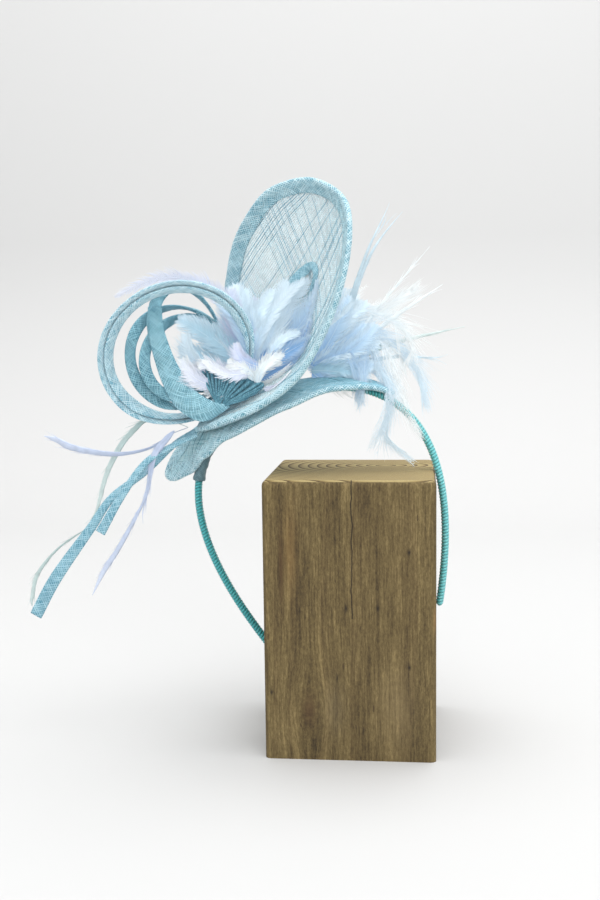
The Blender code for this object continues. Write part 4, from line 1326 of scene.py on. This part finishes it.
# small curled ones over the pleats, each with its own root
coverFeathers = (
    ((20.5, -10.3, 9.9), (-0.1, -17.3, 29.0), 4.5, "bloom", 0.22),
    ((6.2, -12.3, 13.1), (-3.8, -17.3, 27.5), 5.0, "bloom", -0.18),
    ((-1.9, -11.3, 12.6), (-10.0, -15.3, 35.8), 7.0, "bloom", 0.14),
    ((1.8, -8.3, 15.6), (-1.3, -12.3, 47.0), 8.5, "pale", 0.10),
    ((25.1, -10.3, 8.2), (19.6, -12.3, 27.4), 5.5, "lilac", 0.20),
    ((16.9, -10.3, 3.3), (8.5, -15.3, 18.8), 4.0, "white", -0.24),
    ((16.9, -10.3, 1.3), (38.6, -8.3, 7.8), 4.5, "white", 0.20),
    ((18.4, -10.3, -1.2), (37.4, -8.3, -3.3), 3.5, "bloom", -0.16),
    ((24.0, -9.3, 10.0), (12.0, -13.3, 22.0), 4.0, "white", 0.25),
    ((30.0, -6.3, 9.0), (52.0, -3.3, 14.0), 5.0, "pale", 0.15),
)
strands = []
for root, tip, halfWidth, tint, aside in coverFeathers:
    face = unit(-back + seatAhead * rng.normal(0, 0.25) + seatOut * rng.normal(0, 0.25))
    line = bowedLine(fromTable(root), fromTable(tip), 0.16, aside, face)
    strands += featherStrands(line, face, halfWidth * 0.001, tint, rng, barbs=60, ragged=0.18)
featherPiece("coverFeathers", [(keepClear(s[0], dishTree, -back, 0.0012), *s[1:]) for s in strands])

backFeathers = dict(
    root=(44.8, 11.7, -6.5),
    rows=(
        ((85.7, 26.7, 23.3), 8.5, "pale", 0.05, 2), ((87.4, 29.7, 13.4), 9.0, "pale", -0.04, 2),
        ((86.6, 29.7, 0.3), 9.0, "sky", 0.05, 2), ((77.6, 26.7, -11.0), 8.5, "sky", -0.04, 2),
        ((74.4, 24.7, -21.6), 8.0, "aqua", 0.05, 2), ((66.4, 19.0, -29.0), 7.0, "aqua", 0.05, 2),
        ((58.7, 13.0, -27.5), 5.0, "sky", 0.05, 2), ((70.0, 22.0, 24.0), 7.0, "sky", -0.05, 2),
        ((68.0, 20.0, 8.0), 8.0, "sky", 0.05, 2), ((64.0, 17.0, -8.0), 7.0, "deep", -0.05, 2),
        ((86.0, 15.0, 17.0), 8.0, "sky", -0.05, 2), ((91.0, 14.0, 8.0), 8.0, "pale", 0.05, 2),
        ((89.0, 13.0, -4.0), 8.0, "sky", -0.05, 2), ((84.0, 12.0, -15.0), 8.0, "pale", 0.06, 2),
        ((76.0, 10.0, -23.0), 7.5, "sky", -0.05, 2), ((67.0, 6.0, -26.5), 6.0, "aqua", 0.05, 2),
        ((60.0, 7.0, -23.0), 7.0, "deep", 0.05, 1), ((54.0, 7.0, -20.0), 6.0, "sky", -0.05, 1),
    ),
    loose=(
        ((96.1, 31.7, -12.7), 8.0, "white", -0.10, 2), ((92.4, 31.7, -24.0), 7.5, "white", -0.12, 2),
        ((98.5, 31.7, 5.0), 7.5, "white", 0.10, 2), ((92.0, 29.7, 18.0), 6.5, "white", 0.08, 2),
        ((80.0, 24.0, -36.0), 6.0, "white", -0.14, 2),
    ),
)
strands = featherGroup(backFeathers, "rows", rng, back, 0.0016, barbs=74, scale=1.1)
featherPiece("backFeathers", strands, ("plume_back",))
strands = featherGroup(backFeathers, "loose", rng, back, 0.0016, barbs=46, scale=0.42, gather=0.5, ragged=0.22)

# wisps fall over the end of the base
wisps = (
    (5.5, "sky", ((61.6, 15.7, -8.8), (75.9, 15.7, -9.6), (72.0, 3.7, -23.3), (59.0, -10.3, -38.6))),
    (6.5, "pale", ((65.4, 15.7, -2.9), (79.3, 15.7, -7.5), (77.7, 7.7, -27.1), (72.8, -4.3, -43.7),
                   (52.8, -12.3, -62.9))),
    (6.5, "white", ((70.7, 15.7, 2.1), (85.2, 17.7, -11.4), (82.6, 9.7, -32.4), (78.6, 1.7, -52.1),
                    (79.3, -2.3, -70.6))),
    (7.0, "pale", ((77.4, 17.7, 6.2), (89.6, 19.7, -14.2), (93.7, 13.7, -37.6), (90.1, 7.7, -59.9))),
    (7.0, "white", ((81.0, 21.7, 12.3), (96.1, 21.7, -3.7), (98.5, 19.7, -20.0), (92.6, 15.7, -32.8))),
    (5.5, "pale", ((66.1, 15.7, -11.7), (76.0, 11.7, -26.2), (74.6, 1.7, -45.4), (64.4, -6.3, -58.7),
                   (66.2, -10.3, -81.7))),
    (6.0, "white", ((69.4, 19.7, 7.2), (86.2, 21.7, 0.6), (105.9, 21.7, -1.6), (118.0, 23.7, 1.1))),
    (5.0, "sky", ((66.9, 15.7, -3.8), (67.9, 5.7, -16.6), (59.3, -8.3, -34.8))),
)
wispLook = dict(barbs=54, scale=0.38, gather=0.3, ragged=0.32, sweep=2.3, spread=0.62)
for width, tint, line in wisps:
    for copy in range(3):
        points = [fromTable(np.array(q) + rng.normal(0, 1.9, 3) * (1.0 if n else 0.3)) for n, q in enumerate(line)]
        strands += featherStrands(points, unit(-back + seatAhead * rng.normal(0, 0.3)), width * 0.001, tint, rng,
                                  **wispLook)
featherPiece("looseFeathers", strands)

# one lilac feather curls over behind the loops
lilacLine = ((28, 8, 22), (24.1, 12.7, 50.6), (14.7, 22.7, 71.4), (-5, 24.7, 86.4), (-32.1, 22.7, 90.6))
featherPiece("lilacFeather", featherStrands([fromTable(p) for p in lilacLine], unit(-back + seatOut * 0.2), 0.0062,
                                            "lilac", rng, barbs=90, ragged=0.2))

# stripped quills: long bowed blades with a line, a width, the place of their peak, a dye and the share that is split

spikeDyes = dict(mist=colourOf(184, 208, 220), sage=colourOf(176, 197, 195), lilac=colourOf(176, 190, 216),
                 frost=colourOf(226, 236, 240))
bunches = dict(
    spikes_right=(
        (((56, 10, -13), (67, 15, -2), (83, 19.7, 13), (108, 20, 32), (133.4, 25.7, 45.2)), 3.8, 0.45, "mist", 0.42),
        (((56, 10, -13), (72, 17, -8), (90, 22, 1), (138, 29.7, 16.4)), 1.5, 0.5, "frost", 0.0),
        (((56, 10, -13), (72, 16, -11), (96, 21, -7), (132.9, 28.7, -5.8)), 2.6, 0.6, "frost", 0.0),
        (((56, 10, -13), (70, 15, -15), (92, 20, -19), (130.7, 26.7, -32.8)), 3.8, 0.35, "sage", 0.0),
        (((56, 10, -13), (70, 14, -18), (90, 19, -27), (112.6, 26.7, -43.5)), 2.4, 0.4, "mist", 0.12),
    ),
    spikes_left=(
        (((-32, 3, 3), (-41, -2.3, 4.7), (-55.7, -4.3, 4.7), (-74.2, -6.3, 12.6), (-92, -6.3, 27.8),
          (-98.5, -4.3, 36.8), (-104.4, -2.3, 43.2)), 4.0, 0.72, "lilac", 0.0),
        (((-32, 5, 3), (-41, 7, 14), (-51, 6.7, 19.5), (-59, 5.7, 18.8), (-71, 4.7, 15.2), (-86.2, 1.7, 5.9),
          (-99.3, -0.3, -6.1), (-109.7, -2.3, -15.1)), 3.2, 0.55, "sage", 0.10),
        (((-99.3, -0.8, -7.1), (-109.7, -2.8, -14.1), (-132.8, -4.3, -15.6), (-150.5, -6.3, -21.5),
          (-160.5, -8.3, -31.0), (-164.1, -8.3, -35.6)), 2.3, 0.7, "sage", 0.0),
    ),
    spikes_front=(
        (((-35.3, -14, 5.1), (-42, -18, 3), (-51.5, -20.8, -1.0), (-63.7, -22.3, -14.1), (-77.9, -24.3, -27.2)),
         3.6, 0.36, "lilac", 0.16),
        (((-35.3, -14.5, 5.1), (-51.6, -21.3, -2.2), (-65.1, -24.3, -16.1), (-76.1, -26.3, -23.3),
          (-94.4, -28.3, -33.4), (-108.1, -29.3, -39.6), (-121.1, -30.3, -47.7)), 3.0, 0.76, "lilac", 0.0),
    ),
)


def spikeStrands(line, face, halfWidth, peak, tint, split, rng):
    s = np.linspace(0.0, 1.0, 40)
    points = np.array([curveAt(line, v) for v in s])
    along = unitRows(np.gradient(points, axis=0))
    side = unitRows(np.cross(np.broadcast_to(face, along.shape), along))
    up = unitRows(np.cross(along, side))
    length = np.linalg.norm(np.diff(points, axis=0), axis=1).sum()
    profile = np.maximum(np.sin(np.pi * np.minimum(s, 0.999) ** (math.log(0.5) / math.log(peak))) ** 0.85, 0.10)
    ripple = 1 + 0.05 * np.sin(s * 31 + rng.uniform(0, 6))
    tone = tint * (0.86 + 0.14 * s[:, None]) + (1 - tint) * 0.25 * s[:, None] ** 2
    strands = []
    fork = s > 1 - split
    for sign in ((1, -1) if split else (0,)):
        part = np.where(fork, (s - (1 - split)) / max(split, 0.01), 0)[:, None] * sign
        offset = side * (profile[:, None] * halfWidth * 0.42 * sign) + side * part ** 2 * sign * length * 0.045
        size = halfWidth * profile * ripple * (0.62 if sign else 1.0)
        strands.append((points + offset, size, up, np.clip(tone, 0, 0.95)))
    for n in range(26):   # loose hairs along both edges
        k = int(rng.integers(6, 36))
        sign = 1 if rng.random() < 0.5 else -1
        start = points[k] + side[k] * sign * profile[k] * halfWidth * 0.8
        t = np.linspace(0, 1, 5)[:, None]
        reach = rng.uniform(0.002, 0.006)
        hair = (start + along[k] * reach * t * 1.8 + side[k] * sign * reach * 0.30 * t ** 2
                + up[k] * reach * rng.normal(0, 0.15) * t)
        strands.append((hair, 0.00018 * (1 - 0.8 * t[:, 0]), up[k], np.clip(tone[k] * 1.03, 0, 0.95)))
    return strands


for number, (node, blades) in enumerate(bunches.items()):
    rng = np.random.default_rng(40 + number)
    strands = []
    for line, width, peak, tint, split in blades:
        face = unit(-back + 0.25 * rng.normal(0, 1) * seatOut)
        points, tone = [fromTable(p) for p in line], np.array(spikeDyes[tint])
        strands += spikeStrands(points, face, width * 0.0005, peak, tone, split, rng)
    strandPiece(pieceName(node), strands, quillDyeGlow, (node,), flatness=0.34, sides=8)

# studio

view = dict(lens=45, sensor=36, place=(0.0363, -0.6274, 0.2354), yaw=-0.1050, pitch=0.1145, roll=-0.0129)
camera = bpy.data.cameras.new("camera")
camera.lens, camera.sensor_width = view["lens"], view["sensor"]
cameraObject = addObject("camera", camera)
ahead = Vector((math.sin(view["yaw"]) * math.cos(view["pitch"]), math.cos(view["yaw"]) * math.cos(view["pitch"]),
                -math.sin(view["pitch"])))
level = Vector((math.cos(view["yaw"]), -math.sin(view["yaw"]), 0))
high = level.cross(ahead)
right = level * math.cos(view["roll"]) + high * math.sin(view["roll"])
above = high * math.cos(view["roll"]) - level * math.sin(view["roll"])
cameraObject.matrix_world = Matrix(((right.x, above.x, -ahead.x, view["place"][0]),
                                    (right.y, above.y, -ahead.y, view["place"][1]),
                                    (right.z, above.z, -ahead.z, view["place"][2]), (0, 0, 0, 1)))
bpy.context.scene.camera = cameraObject

studio = dict(halfWidth=3.0, front=-2.5, bend=0.62, radius=0.35, wall=2.2)


def backdropMesh():
    profile = [(studio["front"], 0.0), (0.0, 0.0)]
    for k in range(13):
        t = k / 12 * math.pi / 2
        profile.append((studio["bend"] + studio["radius"] * math.sin(t), studio["radius"] * (1 - math.cos(t))))
    profile.append((studio["bend"] + studio["radius"], studio["wall"]))
    verts = [(s * studio["halfWidth"], y, z) for y, z in profile for s in (-1, 1)]
    faces = [(2 * k, 2 * k + 1, 2 * k + 3, 2 * k + 2) for k in range(len(profile) - 1)]
    mesh = bpy.data.meshes.new("backdrop")
    mesh.from_pydata(verts, [], faces)
    mesh.shade_smooth()
    return mesh


backdrop = addObject("backdrop", backdropMesh())
paper, _, paperShader = newMaterial("studioPaper", Roughness=0.9)
paperShader.inputs["Base Color"].default_value = (0.585, 0.586, 0.584, 1)
backdrop.data.materials.append(paper)


def areaLight(name, place, target, size, power):
    light = bpy.data.lights.new(name, "AREA")
    light.shape = "RECTANGLE"
    light.size, light.size_y = size
    light.energy = power
    made = addObject(name, light)
    made.location = place
    made.rotation_euler = (Vector(target) - Vector(place)).to_track_quat("-Z", "Y").to_euler()


areaLight("topSoftbox", (0.10, 0.05, 1.7), (0, 0, 0.1), (1.6, 1.6), 27)
areaLight("frontFill", (0.5, -1.7, 0.9), (0, 0, 0.15), (1.6, 1.2), 11)
world = bpy.data.worlds.new("studio")
bpy.context.scene.world = world
world.use_nodes = True
world.node_tree.nodes["Background"].inputs["Color"].default_value = (1, 1, 1, 1)
world.node_tree.nodes["Background"].inputs["Strength"].default_value = 0.90
bpy.context.scene.view_settings.view_transform = "Standard"
bpy.context.scene.cycles.transparent_max_bounces = 24

print("scene made")
